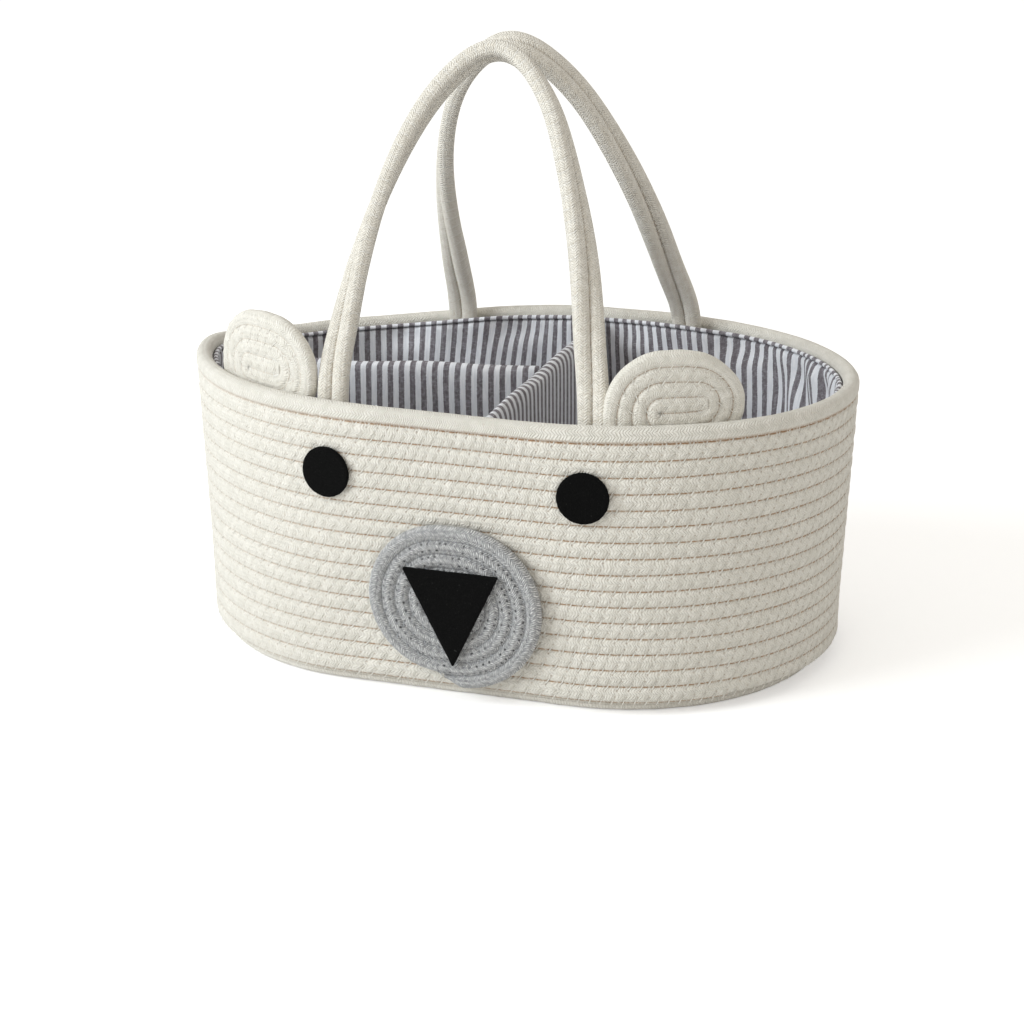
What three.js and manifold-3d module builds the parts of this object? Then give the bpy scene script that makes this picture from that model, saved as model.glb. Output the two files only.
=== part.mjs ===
// Rope diaper caddy with a plain bear face: an oval basket sewn from one coiled cotton rope,
// a striped lining, a lift-out T divider and two twin-rope handles.
// Millimetres, +Z up, the face looks along -Y, and the origin is the middle of the underside.
import * as THREE from "three";
import { mergeVertices } from "three/addons/utils/BufferGeometryUtils.js";
import Module from "manifold-3d";

const wasm = await Module();
wasm.setup();

// Sizes shared by many pieces
const clear = 0.4; // running and seating clearance between separate pieces
const overrun = 10; // how far a cutting block passes the face that it cuts

// The oval, measured outside the rope: straight sides with a half ellipse at each end
const baseOval = { length: 389, depth: 251 };
const rimOval = { length: 406, depth: 250, straight: 90 };

// The wall is a stack of rope courses on the outer turn of the base
const rope = { pitch: 9.55, stitchGap: 0.5, roundSides: 8 };
const wall = { courses: 16, stepsPerEnd: 11, edgeTuck: 5.6, firstRiseShare: 0.85 };
const wallTail = { startShare: 0.21, endShare: 0.34 };

// Flat coils: distance between turns, length of the straight start, number of half turns
const coilSagitta = { base: 2, face: 0.8 };
const ear = { pitch: 8.75, gap: 0.65, core: 20, narrowShare: 0.88, halfTurns: 7, fallLength: 32 };
// Each ear's distance from the handle's leg, how far its core is over the rim, and by what
// shares its loops fall towards either end
const earLeft = { legGap: 8, coreOverRim: 10.6, fallLeft: 0.23, fallRight: 0.09 };
const earRight = { legGap: 0.2, coreOverRim: 9.3, fallLeft: 0, fallRight: 0.25 };
const snout = { pitch: 8.4, core: 9.3, halfTurns: 11, x: 1.2, z: 63.4 };

// Felt pieces on the front
const eye = { diameter: 30, thickness: 2.2, rimLengthShare: 0.1887, z: 129.8, bevel: 0.4 };
const nose = { width: 57.5, height: 57.6, thickness: 3, x: 1.8, top: 81.4, tipShift: 1.2, corner: 1 };

// The soft wall has sagged at the back left
const sag = { depth: 12.3, fromX: 10, overX: 150, fromY: -30, overY: 110 };

// Handles: two ropes sewn side by side, bent over the rim
const handle = {
  rope: 8.8,
  strandGap: 0.4,
  spreadShare: 0.3714, // of the rim's length
  rise: 207,
  sway: 9.3,
  hingeOverRim: 4.9,
  footDepth: 70,
  steps: 36,
};
// Half the arch from the foot to the top: shares of half the spread, of the rise and of the sway
const archShares = [
  [1, 0, 0],
  [0.985, 0.08, 0.22],
  [0.95, 0.155, 0.34],
  [0.913, 0.28, 0.53],
  [0.858, 0.41, 0.7],
  [0.77, 0.555, 0.88],
  [0.646, 0.7, 1],
  [0.565, 0.773, 1],
  [0.475, 0.84, 1],
  [0.335, 0.91, 1],
  [0.14, 0.98, 1],
  [0, 1, 1],
];

// Cloth
const lining = { cloth: 1.2, belowRim: 4, hem: 5, hemRamp: 0.6 };
// Pockets in the lining for the handle ends and ears: how far it stands off, and where
const pocket = { spareDepth: 1.6, foot: 62, rise: 30, spareAcross: 2.4, ramp: 12 };
const divider = { thickness: 6, cloth: 1.1, x: 13.9, belowRim: 5, lift: 1.5, leftDrop: 9 };
const hookAndLoop = { width: 16, height: 60, loop: 1, hook: 1.2, belowTop: 12 };

// Sizes that follow from those above
const ropeSize = rope.pitch - rope.stitchGap;
const baseTop = ropeSize;
const firstCourse = ropeSize / 2 + rope.pitch * wall.firstRiseShare;
const rimCentre = firstCourse + rope.pitch * wall.courses;
const rimTop = rimCentre + ropeSize / 2;
const hingeHeight = rimTop + handle.hingeOverRim;
const spread = rimOval.length * handle.spreadShare;
const strandPitch = handle.rope + handle.strandGap;

const quarter = Math.PI / 2;
const lerp = THREE.MathUtils.lerp;
const smooth = (x) => THREE.MathUtils.smoothstep(x, 0, 1);

// Each end of the oval is an odd number of steps, so that a flat facet closes it
const endStep = (2 * quarter) / wall.stepsPerEnd;

// The oval at a height: half its straight side, and the half length and half depth of its end ellipses
function ovalAt(z) {
  const share = z / rimTop;
  const baseStraight = baseOval.length - baseOval.depth;
  const straight = lerp(baseStraight, rimOval.straight, share) / 2;
  const endLength = lerp(baseOval.depth, rimOval.length - rimOval.straight, share) / 2;
  return {
    straight,
    endLength: endLength / Math.cos(endStep / 2), // so that the end facet lies at the length
    endDepth: lerp(baseOval.depth, rimOval.depth, share) / 2,
  };
}

// Stations round the oval, clockwise from above: left end, back, right end, front.
// Each straight side is one step.
const stations = [];
for (let i = 1 / 2; i < wall.stepsPerEnd / 2; i += 1) {
  stations.push({ angle: 2 * quarter - i * endStep, side: -1 });
}
stations.push({ angle: quarter, side: -1 });
for (let i = 0; i <= wall.stepsPerEnd; i += 1) {
  stations.push({ angle: quarter - i * endStep, side: 1 });
}
for (let i = 0; i < wall.stepsPerEnd / 2; i += 1) {
  stations.push({ angle: -quarter - i * endStep, side: -1 });
}
const leftEnd = -1 / 2;

// A station's point at a height, moved inwards along the oval's normal
function stationPoint(index, z, inset) {
  const { angle, side } = stations[((index % stations.length) + stations.length) % stations.length];
  const oval = ovalAt(z);
  const normal = new THREE.Vector2(
    Math.cos(angle) / oval.endLength,
    Math.sin(angle) / oval.endDepth,
  ).normalize();
  const x = side * oval.straight + oval.endLength * Math.cos(angle);
  const y = oval.endDepth * Math.sin(angle);
  return new THREE.Vector3(x - normal.x * inset, y - normal.y * inset, z - sagAt(x, y, z));
}

// How far the wall has sagged: most at the rim, and nothing up to the top of the first course
function sagAt(x, y, z) {
  const left = smooth((sag.fromX - x) / sag.overX);
  const back = smooth((y - sag.fromY) / sag.overY);
  const foot = firstCourse + ropeSize / 2;
  return sag.depth * left * back * Math.max(0, (z - foot) / (rimTop - foot));
}

// A place between stations lies on the straight facet between them
function wallPoint(place, z, inset) {
  const index = Math.floor(place);
  return stationPoint(index, z, inset).lerp(stationPoint(index + 1, z, inset), place - index);
}

// The place on the front or back side of the oval at which it has a given x
function placeAtX(x, z, inset, back) {
  const count = stations.length;
  for (let i = 0; i < count; i += 1) {
    const a = stationPoint(i, z, inset);
    const b = stationPoint(i + 1, z, inset);
    const onSide = back ? a.y + b.y > 0 : a.y + b.y < 0;
    if (onSide && (a.x - x) * (b.x - x) <= 0 && a.x !== b.x) return i + (x - a.x) / (b.x - a.x);
  }
  throw new Error("no place on the oval has that x");
}

// Marks along the front from its middle, so that a length becomes a place; positive towards +X
function frontRuler(z, inset) {
  const middle = placeAtX(0, z, inset, false);
  const last = stations.length;
  const marks = [{ place: middle, along: 0 }];
  for (let i = Math.floor(middle); i > last / 2; i -= 1) {
    const before = marks[marks.length - 1];
    const step = wallPoint(before.place, z, inset).distanceTo(stationPoint(i, z, inset));
    marks.push({ place: i, along: before.along + step });
  }
  marks.reverse();
  for (let i = Math.ceil(middle); i <= last; i += 1) {
    const before = marks[marks.length - 1];
    const step = wallPoint(before.place, z, inset).distanceTo(stationPoint(i, z, inset));
    marks.push({ place: i, along: before.along - step });
  }
  return (along) => {
    const i = marks.findIndex((mark) => mark.along <= along);
    const [a, b] = [marks[i - 1], marks[i]];
    return lerp(a.place, b.place, (along - a.along) / (b.along - a.along));
  };
}

// A closed surface from a list of triangles, turned to face out
function closedSurface(points, faces) {
  let volume = 0;
  for (const [a, b, c] of faces) {
    volume += points[a].dot(new THREE.Vector3().crossVectors(points[b], points[c]));
  }
  const turned = volume < 0 ? faces.map(([a, b, c]) => [a, c, b]) : faces;
  return new THREE.BufferGeometry()
    .setFromPoints(points)
    .setIndex(turned.flat());
}

// A tube through rings that have the same number of points, with flat ends
function tube(rings) {
  const sides = rings[0].length;
  const faces = [];
  for (let i = 0; i + 1 < rings.length; i += 1) {
    for (let j = 0; j < sides; j += 1) {
      const [a, b] = [i * sides + j, i * sides + ((j + 1) % sides)];
      faces.push([a, b, b + sides], [a, b + sides, a + sides]);
    }
  }
  const end = (rings.length - 1) * sides;
  for (let j = 1; j + 1 < sides; j += 1) {
    faces.push([0, j + 1, j], [end, end + j, end + j + 1]);
  }
  return closedSurface(rings.flat(), faces);
}

// A hoop: the same closed profile carried round and joined to its start
function hoop(profiles) {
  const sides = profiles[0].length;
  const faces = [];
  profiles.forEach((profile, i) => {
    const next = (i + 1) % profiles.length;
    for (let j = 0; j < sides; j += 1) {
      const [a, b] = [i * sides + j, i * sides + ((j + 1) % sides)];
      const [c, d] = [next * sides + ((j + 1) % sides), next * sides + j];
      faces.push([a, b, c], [a, c, d]);
    }
  });
  return closedSurface(profiles.flat(), faces);
}

// A rope's section: six corners, flat above and below, across its width and its height
function ropeSection(width, low, high) {
  const [half, shoulder] = [width / 2, width / 4];
  const middle = (low + high) / 2;
  return [
    [half, middle],
    [shoulder, high],
    [-shoulder, high],
    [-half, middle],
    [-shoulder, low],
    [shoulder, low],
  ];
}

// The least gap between turns of a coil, from its rings' points and facet middles
const reports = [];
function reportGap(name, rings, turnSize) {
  let least = Infinity;
  const samples = rings.map((ring) =>
    ring.flatMap((p, i) => [p, p.clone().lerp(ring[(i + 1) % ring.length], 1 / 2)]),
  );
  const centres = rings.map((ring) =>
    ring.reduce((sum, p) => sum.add(p), new THREE.Vector3()).divideScalar(ring.length),
  );
  const lengths = [0];
  centres.forEach((p, i) => i && lengths.push(lengths[i - 1] + p.distanceTo(centres[i - 1])));
  for (let i = 0; i < rings.length; i += 1) {
    for (let j = i + 1; j < rings.length; j += 1) {
      if (lengths[j] - lengths[i] < 2 * turnSize) continue;
      if (centres[i].distanceTo(centres[j]) > 2 * turnSize) continue;
      for (const p of samples[i]) {
        for (const q of samples[j]) least = Math.min(least, p.distanceTo(q));
      }
    }
  }
  reports.push(`${name}: least gap to itself ${least.toFixed(2)} mm`);
}

// The wall: each course is level in front and climbs to the next one round the back.
// Its two tails thin out on the base's outer turn below and under the rim above.
const lengthsRound = [0];
stations.forEach((_, i) => {
  const step = stationPoint(i, firstCourse, ropeSize / 2).distanceTo(
    stationPoint(i + 1, firstCourse, ropeSize / 2),
  );
  lengthsRound.push(lengthsRound[i] + step);
});
function turnShare(place) {
  const index = Math.floor(place);
  const along = lerp(lengthsRound[index], lengthsRound[index + 1] ?? lengthsRound[index], place - index);
  return along / lengthsRound[stations.length];
}

function wallCoil() {
  const places = [];
  for (let turn = 0; turn <= wall.courses; turn += 1) {
    for (let i = 0; i < stations.length; i += 1) {
      places.push({ turn, place: i, share: turnShare(i) });
    }
  }
  const rings = places
    .filter(({ turn, share }) => turn > 0 || share > wallTail.startShare)
    .filter(({ turn, share }) => turn < wall.courses || share < wallTail.endShare)
    .map(({ turn, place, share }) => {
      const climb = smooth(Math.min(1, 2 * share));
      const z = firstCourse + rope.pitch * (turn - 1 + climb);
      const low = turn === 0 ? Math.max(z - ropeSize / 2, baseTop + rope.stitchGap) : z - ropeSize / 2;
      const ceiling = rimCentre - ropeSize / 2 - rope.stitchGap;
      const high = Math.min(z + ropeSize / 2, ceiling);
      return ropeSection(ropeSize, low, high).map(([out, up]) =>
        wallPoint(place, up, ropeSize / 2 - out),
      );
    });
  reportGap("wall_coil", rings, ropeSize);
  return tube(rings);
}

// The rim: one smooth turn, open at the middle of the back where its ends meet
function rimRope() {
  const start = placeAtX(clear / 2, rimCentre, ropeSize / 2, true);
  const end = placeAtX(-clear / 2, rimCentre, ropeSize / 2, true);
  const places = [start];
  for (let i = Math.ceil(start); i < stations.length + end; i += 1) places.push(i);
  places.push(stations.length + end);
  const rings = places.map((place) =>
    Array.from({ length: rope.roundSides }, (_, i) => {
      const turn = (i * 4 * quarter) / rope.roundSides;
      const [out, up] = [(ropeSize / 2) * Math.cos(turn), (ropeSize / 2) * Math.sin(turn)];
      return wallPoint(place, rimCentre + up, ropeSize / 2 - out);
    }),
  );
  return tube(rings);
}

// A flat coil starts with a straight strand and turns about its two ends in turn, so that
// every strand lies one pitch from the next. It gives points with their outward direction.
function flatCoil({ pitch, core, halfTurns, sagitta, tail }) {
  const path = [{ u: core / 2, v: 0, du: 0, dv: 1 }];
  for (let turn = 1; turn <= halfTurns; turn += 1) {
    const left = turn % 2 === 1;
    const radius = (turn * pitch) / 2;
    const centre = { u: left ? -core / 2 : core / 2, v: left ? -pitch / 2 : 0 };
    const steps = Math.max(4, Math.ceil(quarter / Math.acos(1 - sagitta / Math.max(radius, 2 * sagitta))));
    for (let i = 0; i <= steps; i += 1) {
      const angle = (left ? quarter : -quarter) + (2 * quarter * i) / steps;
      const [du, dv] = [Math.cos(angle), Math.sin(angle)];
      path.push({ u: centre.u + radius * du, v: centre.v + radius * dv, du, dv });
    }
  }
  const last = path[path.length - 1];
  path.push({ ...last, u: last.u - tail * last.dv });
  return path;
}

// A coil's rings: u and v along the surface that carries it, and depth away from it
function coilRings(path, size, place) {
  return path.map(({ u, v, du, dv }) =>
    ropeSection(size, -size / 2, size / 2).map(([out, up]) => place(u + du * out, v + dv * out, up)),
  );
}

function baseCoil() {
  const outermost = baseOval.depth / 2 - ropeSize / 2 - wall.edgeTuck;
  const loops = Math.floor(outermost / rope.pitch);
  const pitch = outermost / loops;
  const path = flatCoil({
    pitch,
    core: baseOval.length - baseOval.depth,
    halfTurns: 2 * loops,
    sagitta: coilSagitta.base,
    tail: baseOval.length - baseOval.depth,
  });
  const rings = coilRings(path, ropeSize, (u, v, up) =>
    new THREE.Vector3(u - pitch / 4, v, ropeSize / 2 + up),
  );
  reportGap("base_coil", rings, ropeSize);
  return tube(rings);
}

// An ear stands between the rope wall and the lining and bends with the wall
const ropeInner = ropeSize; // the wall's inner face, measured from its outer face
function earCoil(name, side, { legGap, coreOverRim, fallLeft, fallRight }) {
  const size = ear.pitch - ear.gap;
  const inset = ropeInner + clear + size / 2;
  const ruler = frontRuler(rimTop, inset);
  const core = ear.core / ear.narrowShare;
  const loops = (ear.halfTurns + (side > 0 ? 1 : 0)) / 2; // between the core and the leg
  const reach = ear.core / 2 + (loops * ear.pitch - ear.gap / 2) * ear.narrowShare;
  const middle = side * (legFarX + legGap + reach);
  const path = flatCoil({ ...ear, core, sagitta: coilSagitta.face, tail: core / 2 });
  const rings = coilRings(path, size, (u, v, up) => {
    const along = u * ear.narrowShare;
    const fall = (along < 0 ? fallLeft : fallRight) * smooth(Math.abs(along) / ear.fallLength);
    const z = rimTop + coreOverRim + v * (1 - fall);
    const place = ruler(middle + along);
    return wallPoint(place, Math.min(z, rimTop), inset + up).setZ(z);
  });
  reportGap(name, rings, size);
  return tube(rings);
}

// The snout winds the other way round and lies flat on the front, which leans by this angle.
// It is measured from its middle on the wall's outer face, and so is the nose.
const faceLean = Math.atan2(ovalAt(0).endDepth - ovalAt(rimTop).endDepth, rimTop);
const snoutSize = snout.pitch - rope.stitchGap;
function snoutCoil() {
  const path = flatCoil({ ...snout, sagitta: coilSagitta.face, tail: snout.core });
  const rings = coilRings(path, snoutSize, (u, v, up) =>
    new THREE.Vector3(-u, up - clear - snoutSize / 2, v),
  );
  reportGap("snout_coil", rings, snoutSize);
  return tube(rings);
}

// Felt shapes
function eyeDisc() {
  const [r, bevel] = [eye.diameter / 2, eye.bevel];
  const profile = [
    [0, 0],
    [r - bevel, 0],
    [r, bevel],
    [r, eye.thickness - bevel],
    [r - bevel, eye.thickness],
    [0, eye.thickness],
  ].map(([x, y]) => new THREE.Vector2(x, y));
  return new THREE.LatheGeometry(profile, 24);
}

function noseFelt() {
  const half = nose.width / 2;
  const corners = [
    new THREE.Vector2(-half, 0),
    new THREE.Vector2(half, 0),
    new THREE.Vector2(nose.tipShift, -nose.height),
  ];
  const shape = new THREE.Shape();
  corners.forEach((corner, i) => {
    const before = corners[(i + 2) % 3].clone().sub(corner).setLength(nose.corner).add(corner);
    const after = corners[(i + 1) % 3].clone().sub(corner).setLength(nose.corner).add(corner);
    if (i === 0) shape.moveTo(before.x, before.y);
    else shape.lineTo(before.x, before.y);
    shape.quadraticCurveTo(corner.x, corner.y, after.x, after.y);
  });
  shape.closePath();
  return new THREE.ExtrudeGeometry(shape, { depth: nose.thickness, bevelEnabled: false, curveSegments: 2 });
}

// Handle legs: both ropes of a strap stand side by side along the rim
const legRadius = handle.rope / 2;
const legOuterX = spread / 2 + strandPitch / 2;
const legFlat = legRadius * Math.cos(quarter * (2 / rope.roundSides)); // from its axis to a flat
// How far from the middle plane the rope wall's inner side is at an x and a height
function wallInnerY(x, z) {
  const place = placeAtX(x, z, ropeInner + clear, false);
  return Math.abs(wallPoint(place, z, ropeInner + clear).y);
}
const footZ = rimTop - handle.footDepth;
const legFarX = legOuterX + legFlat;
const legNearX = spread / 2 - strandPitch / 2 - legRadius;
const legY = Math.min(wallInnerY(legFarX, rimTop), wallInnerY(legFarX, footZ)) - legFlat;

// A strap leans in until its upper side meets the other strap's
const lean = Math.asin((legY - strandPitch / 2 - legRadius - clear) / handle.rise);

// A strap's centre line in its own plane: x across, s up the leaning plane. It sways to the left.
function archPath() {
  const half = spread / 2;
  const leg = (side) =>
    archShares.map(
      ([across, up, sway]) =>
        new THREE.Vector3(side * across * half - sway * handle.sway, 0, up * handle.rise),
    );
  const points = [...leg(-1), ...leg(1).slice(0, -1).reverse()];
  return new THREE.CatmullRomCurve3(points, false, "centripetal");
}

// One rope of a strap. The inner rope starts nearer the middle and lies in front at the top;
// the two twist a quarter turn up each leg. Its ends are round about the hinge line.
function handleRope(inner) {
  const curve = archPath();
  const sign = inner ? 1 : -1;
  const flat = new THREE.Vector3(0, -1, 0);
  const rings = [];
  const ring = (centre, across, radius) =>
    Array.from({ length: rope.roundSides }, (_, i) => {
      const turn = ((i + 1 / 2) * 4 * quarter) / rope.roundSides;
      return centre
        .clone()
        .addScaledVector(across, radius * Math.cos(turn))
        .addScaledVector(flat, radius * Math.sin(turn));
    });
  for (let i = 0; i <= handle.steps; i += 1) {
    const share = i / handle.steps;
    const centre = curve.getPointAt(share);
    const along = i === 0 ? new THREE.Vector3(0, 0, 1) : curve.getTangentAt(share);
    if (i === handle.steps) along.set(0, 0, -1);
    const across = new THREE.Vector3().crossVectors(along, flat);
    const twist = quarter * Math.sin(quarter * (centre.z / handle.rise));
    centre.addScaledVector(across, (sign * Math.cos(twist) * strandPitch) / 2);
    centre.addScaledVector(flat, (sign * Math.sin(twist) * strandPitch) / 2);
    rings.push({ centre, across, along });
  }
  const capShares = [1 / 3, 2 / 3, 0.95];
  const cap = (at, way) =>
    capShares.map((share) => {
      const depth = legRadius * Math.sin(share * quarter);
      const centre = at.centre.clone().addScaledVector(at.along, way * depth);
      return ring(centre, at.across, legRadius * Math.cos(share * quarter));
    });
  return tube([
    ...cap(rings[0], -1).reverse(),
    ...rings.map(({ centre, across }) => ring(centre, across, legRadius)),
    ...cap(rings[rings.length - 1], 1),
  ]);
}

// The sewn end of one rope of a strap, in the pocket between the rope wall and the lining
function footRope() {
  const height = handle.footDepth;
  return new THREE.CylinderGeometry(legRadius, legRadius, height, rope.roundSides)
    .rotateX(quarter)
    .rotateZ((2 * quarter) / rope.roundSides)
    .translate(0, 0, -height / 2);
}

// The lining's wall: how far its outer side stands off the rope wall, for the handle ends and ears
const earsAcross = ear.core + (ear.halfTurns + 1 / 2) * ear.pitch * ear.narrowShare;
const earsReach = legFarX + Math.max(earLeft.legGap, earRight.legGap) + earsAcross;
function pocketDepth(x, back, z) {
  const half = strandPitch / 2 + legRadius + pocket.spareAcross;
  const from = spread / 2 - half;
  const to = back ? spread / 2 + half : earsReach;
  const across =
    smooth((Math.abs(x) - from + pocket.ramp) / pocket.ramp) *
    (1 - smooth((Math.abs(x) - to) / pocket.ramp));
  const up = smooth((z - pocket.foot) / pocket.rise);
  const legStandOff = wallInnerY(legNearX, z) - legY + legRadius + clear;
  return (Math.max(legStandOff, ear.pitch) + pocket.spareDepth) * across * up;
}

const liningTop = rimTop - lining.belowRim;
const liningFoot = baseTop + clear;
function liningWall() {
  const splits = stations.map((_, i) => {
    const a = stationPoint(i, rimTop, 0);
    const b = stationPoint(i + 1, rimTop, 0);
    const x = Math.abs(a.x + b.x) / 2;
    const nearHandles = x < legOuterX + pocket.ramp;
    return nearHandles ? 6 : 2;
  });
  const places = splits.flatMap((count, i) =>
    Array.from({ length: count }, (_, k) => i + k / count),
  );
  const hemFoot = liningTop - lining.hem;
  const pocketTop = pocket.foot + pocket.rise;
  const middle = (pocketTop + liningTop) / 2;
  const outerRows = [liningFoot, pocket.foot, pocketTop, middle, liningTop];
  const innerRows = [
    [liningTop, 2 * lining.cloth],
    [hemFoot, 2 * lining.cloth],
    [hemFoot - lining.hemRamp, lining.cloth],
    [middle, lining.cloth],
    [pocketTop, lining.cloth],
    [pocket.foot, lining.cloth],
    [liningFoot, lining.cloth],
  ];
  return hoop(
    places.map((place) => {
      const standOff = (z) => {
        const mark = wallPoint(place, z, 0);
        return ropeInner + clear + pocketDepth(mark.x, mark.y > 0, z);
      };
      return [
        ...outerRows.map((z) => wallPoint(place, z, standOff(z))),
        ...innerRows.map(([z, cloth]) => wallPoint(place, z, standOff(z) + cloth)),
      ];
    }),
  );
}

function liningFloor() {
  const inset = ropeInner + clear + lining.cloth + clear;
  const outline = stations.map((_, i) => stationPoint(i, liningFoot, inset));
  const shape = new THREE.Shape(outline.map((p) => new THREE.Vector2(p.x, p.y)));
  return new THREE.ExtrudeGeometry(shape, { depth: lining.cloth, bevelEnabled: false }).translate(
    0,
    0,
    liningFoot,
  );
}

// Joins and cuts
function solid(geometry) {
  const bare = geometry.clone().deleteAttribute("normal").deleteAttribute("uv");
  const merged = mergeVertices(bare);
  return new wasm.Manifold(
    new wasm.Mesh({
      numProp: 3,
      vertProperties: merged.attributes.position.array,
      triVerts: new Uint32Array(merged.index.array),
    }),
  );
}

function geometryOf(made) {
  const mesh = made.getMesh();
  return new THREE.BufferGeometry()
    .setAttribute("position", new THREE.BufferAttribute(mesh.vertProperties, 3))
    .setIndex(new THREE.BufferAttribute(mesh.triVerts, 1));
}

// A divider panel before its ends are cut: a board with a half round top, along X
function panel(length, thickness, bottom, top) {
  const half = thickness / 2;
  const shape = new THREE.Shape();
  shape.moveTo(-half, bottom);
  shape.lineTo(half, bottom);
  shape.lineTo(half, top - half);
  shape.absarc(0, top - half, half, 0, 2 * quarter);
  shape.closePath();
  return new THREE.ExtrudeGeometry(shape, { depth: length, bevelEnabled: false, curveSegments: 6 })
    .rotateX(quarter)
    .rotateZ(quarter);
}

// The outline of a panel seen from its side, as a block to keep only what lies inside it
function keep(corners, thickness) {
  const shape = new THREE.Shape(corners.map(([x, z]) => new THREE.Vector2(x, z)));
  return new THREE.ExtrudeGeometry(shape, { depth: thickness, bevelEnabled: false })
    .translate(0, 0, -thickness / 2)
    .rotateX(quarter);
}

// A cloth cover that is open below, and the board inside it. Each end gives the x at the
// bottom and at the top, and the top falls by the drop towards the left end.
const dividerBottom = liningFoot + lining.cloth + divider.lift;
const dividerTop = rimTop - divider.belowRim;
function coverAndBoard({ left, right, drop }) {
  const upShare = (z) => (z - dividerBottom) / (dividerTop - dividerBottom);
  const from = Math.min(left.bottom, left.top);
  const span = Math.max(right.bottom, right.top) - from;
  const cut = (inset, bottom, top) => {
    const leftAt = (z) => lerp(left.bottom, left.top, upShare(z)) + inset;
    const rightAt = (z) => lerp(right.bottom, right.top, upShare(z)) - inset;
    return keep(
      [
        [leftAt(bottom), bottom],
        [rightAt(bottom), bottom],
        [rightAt(top), top],
        [leftAt(top), top],
      ],
      divider.thickness + overrun,
    );
  };
  const blank = (thickness, bottom, top) => {
    const geometry = panel(span + 2 * overrun, thickness, bottom, top);
    geometry.translate(from - overrun, 0, 0);
    const points = geometry.attributes.position;
    for (let i = 0; i < points.count; i += 1) {
      const toLeft = (from + span - points.getX(i)) / span;
      points.setZ(i, points.getZ(i) - drop * toLeft * Math.max(0, upShare(points.getZ(i))));
    }
    return solid(geometry);
  };
  const outside = blank(divider.thickness, dividerBottom, dividerTop).intersect(
    solid(cut(0, dividerBottom - overrun, dividerTop + overrun)),
  );
  const hollowThickness = divider.thickness - 2 * divider.cloth;
  const hollow = blank(hollowThickness, dividerBottom - overrun, dividerTop - divider.cloth).intersect(
    solid(cut(divider.cloth, dividerBottom - 2 * overrun, dividerTop + overrun)),
  );
  const inset = divider.cloth + clear;
  const boardThickness = divider.thickness - 2 * inset;
  const board = blank(boardThickness, dividerBottom + divider.cloth, dividerTop - inset).intersect(
    solid(cut(inset, dividerBottom - overrun, dividerTop + overrun)),
  );
  return { cover: geometryOf(outside.subtract(hollow)), board: geometryOf(board) };
}

// Hook-and-loop strips lie face to face: the loop on the lining and the hook on the divider
const stripStack = clear + hookAndLoop.loop + clear + hookAndLoop.hook + clear;
const liningInset = ropeInner + clear + lining.cloth;
const stripMiddle = dividerTop - hookAndLoop.belowTop - hookAndLoop.height / 2;
const loopDepth = liningInset + clear + hookAndLoop.loop / 2;
const hookDepth = loopDepth + hookAndLoop.loop / 2 + clear + hookAndLoop.hook / 2;

function strip(thickness) {
  return new THREE.BoxGeometry(hookAndLoop.width, thickness, hookAndLoop.height);
}

// A strip lies against the wall at a place, so far inside its outer face
function placeStrip(mesh, place, depth) {
  const low = wallPoint(place, stripMiddle - hookAndLoop.height / 2, depth);
  const high = wallPoint(place, stripMiddle + hookAndLoop.height / 2, depth);
  const ahead = wallPoint(place, stripMiddle, depth - hookAndLoop.loop);
  const up = high.clone().sub(low).normalize();
  const inward = wallPoint(place, stripMiddle, depth).sub(ahead);
  const across = new THREE.Vector3().crossVectors(inward, up).normalize();
  inward.crossVectors(up, across);
  mesh.position.lerpVectors(low, high, 1 / 2);
  mesh.quaternion.setFromRotationMatrix(new THREE.Matrix4().makeBasis(across, inward, up));
}

// Materials
function finish(color, roughness) {
  return new THREE.MeshStandardMaterial({ color, roughness, metalness: 0 });
}
const creamRope = finish("#e4e1d6", 0.9);
const greyRope = finish("#9aa0a8", 0.92);
const blackFelt = finish("#141414", 0.95);
const stripedCotton = finish("#9a9ca3", 0.85);
const board = finish("#b9b2a2", 0.8);
const nylon = finish("#8d9098", 0.7);

const caddy = new THREE.Group();
function add(name, geometry, material, parent = caddy) {
  const mesh = new THREE.Mesh(geometry, material);
  mesh.name = name;
  parent.add(mesh);
  return mesh;
}

// Basket
add("base_coil", baseCoil(), creamRope);
add("wall_coil", wallCoil(), creamRope);
add("rim_rope", rimRope(), creamRope);
add("lining_wall", liningWall(), stripedCotton);
add("lining_floor", liningFloor(), stripedCotton);

// Face
for (const [name, side, earSizes] of [
  ["left", -1, earLeft],
  ["right", 1, earRight],
]) {
  add(`ear_${name}`, earCoil(`ear_${name}`, side, earSizes), creamRope);
  const place = placeAtX(side * rimOval.length * eye.rimLengthShare, eye.z, 0, false);
  const a = wallPoint(Math.floor(place), eye.z, 0);
  const b = wallPoint(Math.floor(place) + 1, eye.z, 0);
  const at = wallPoint(place, eye.z, 0);
  const up = wallPoint(place, eye.z + eye.diameter, 0).sub(at);
  const outward = b.sub(a).cross(up).normalize();
  if (outward.y > 0) outward.negate();
  const disc = add(`eye_${name}`, eyeDisc(), blackFelt);
  disc.position.copy(at).addScaledVector(outward, clear);
  disc.quaternion.setFromUnitVectors(new THREE.Vector3(0, 1, 0), outward);
}
const front = new THREE.Group();
front.position.set(snout.x, -ovalAt(snout.z).endDepth, snout.z);
front.rotation.x = -faceLean;
caddy.add(front);
add("snout_coil", snoutCoil(), greyRope, front);
const noseMesh = add("nose_felt", noseFelt(), blackFelt, front);
noseMesh.position.set(nose.x - snout.x, -clear - snoutSize - clear, nose.top - snout.z);
noseMesh.rotation.x = quarter;

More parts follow.
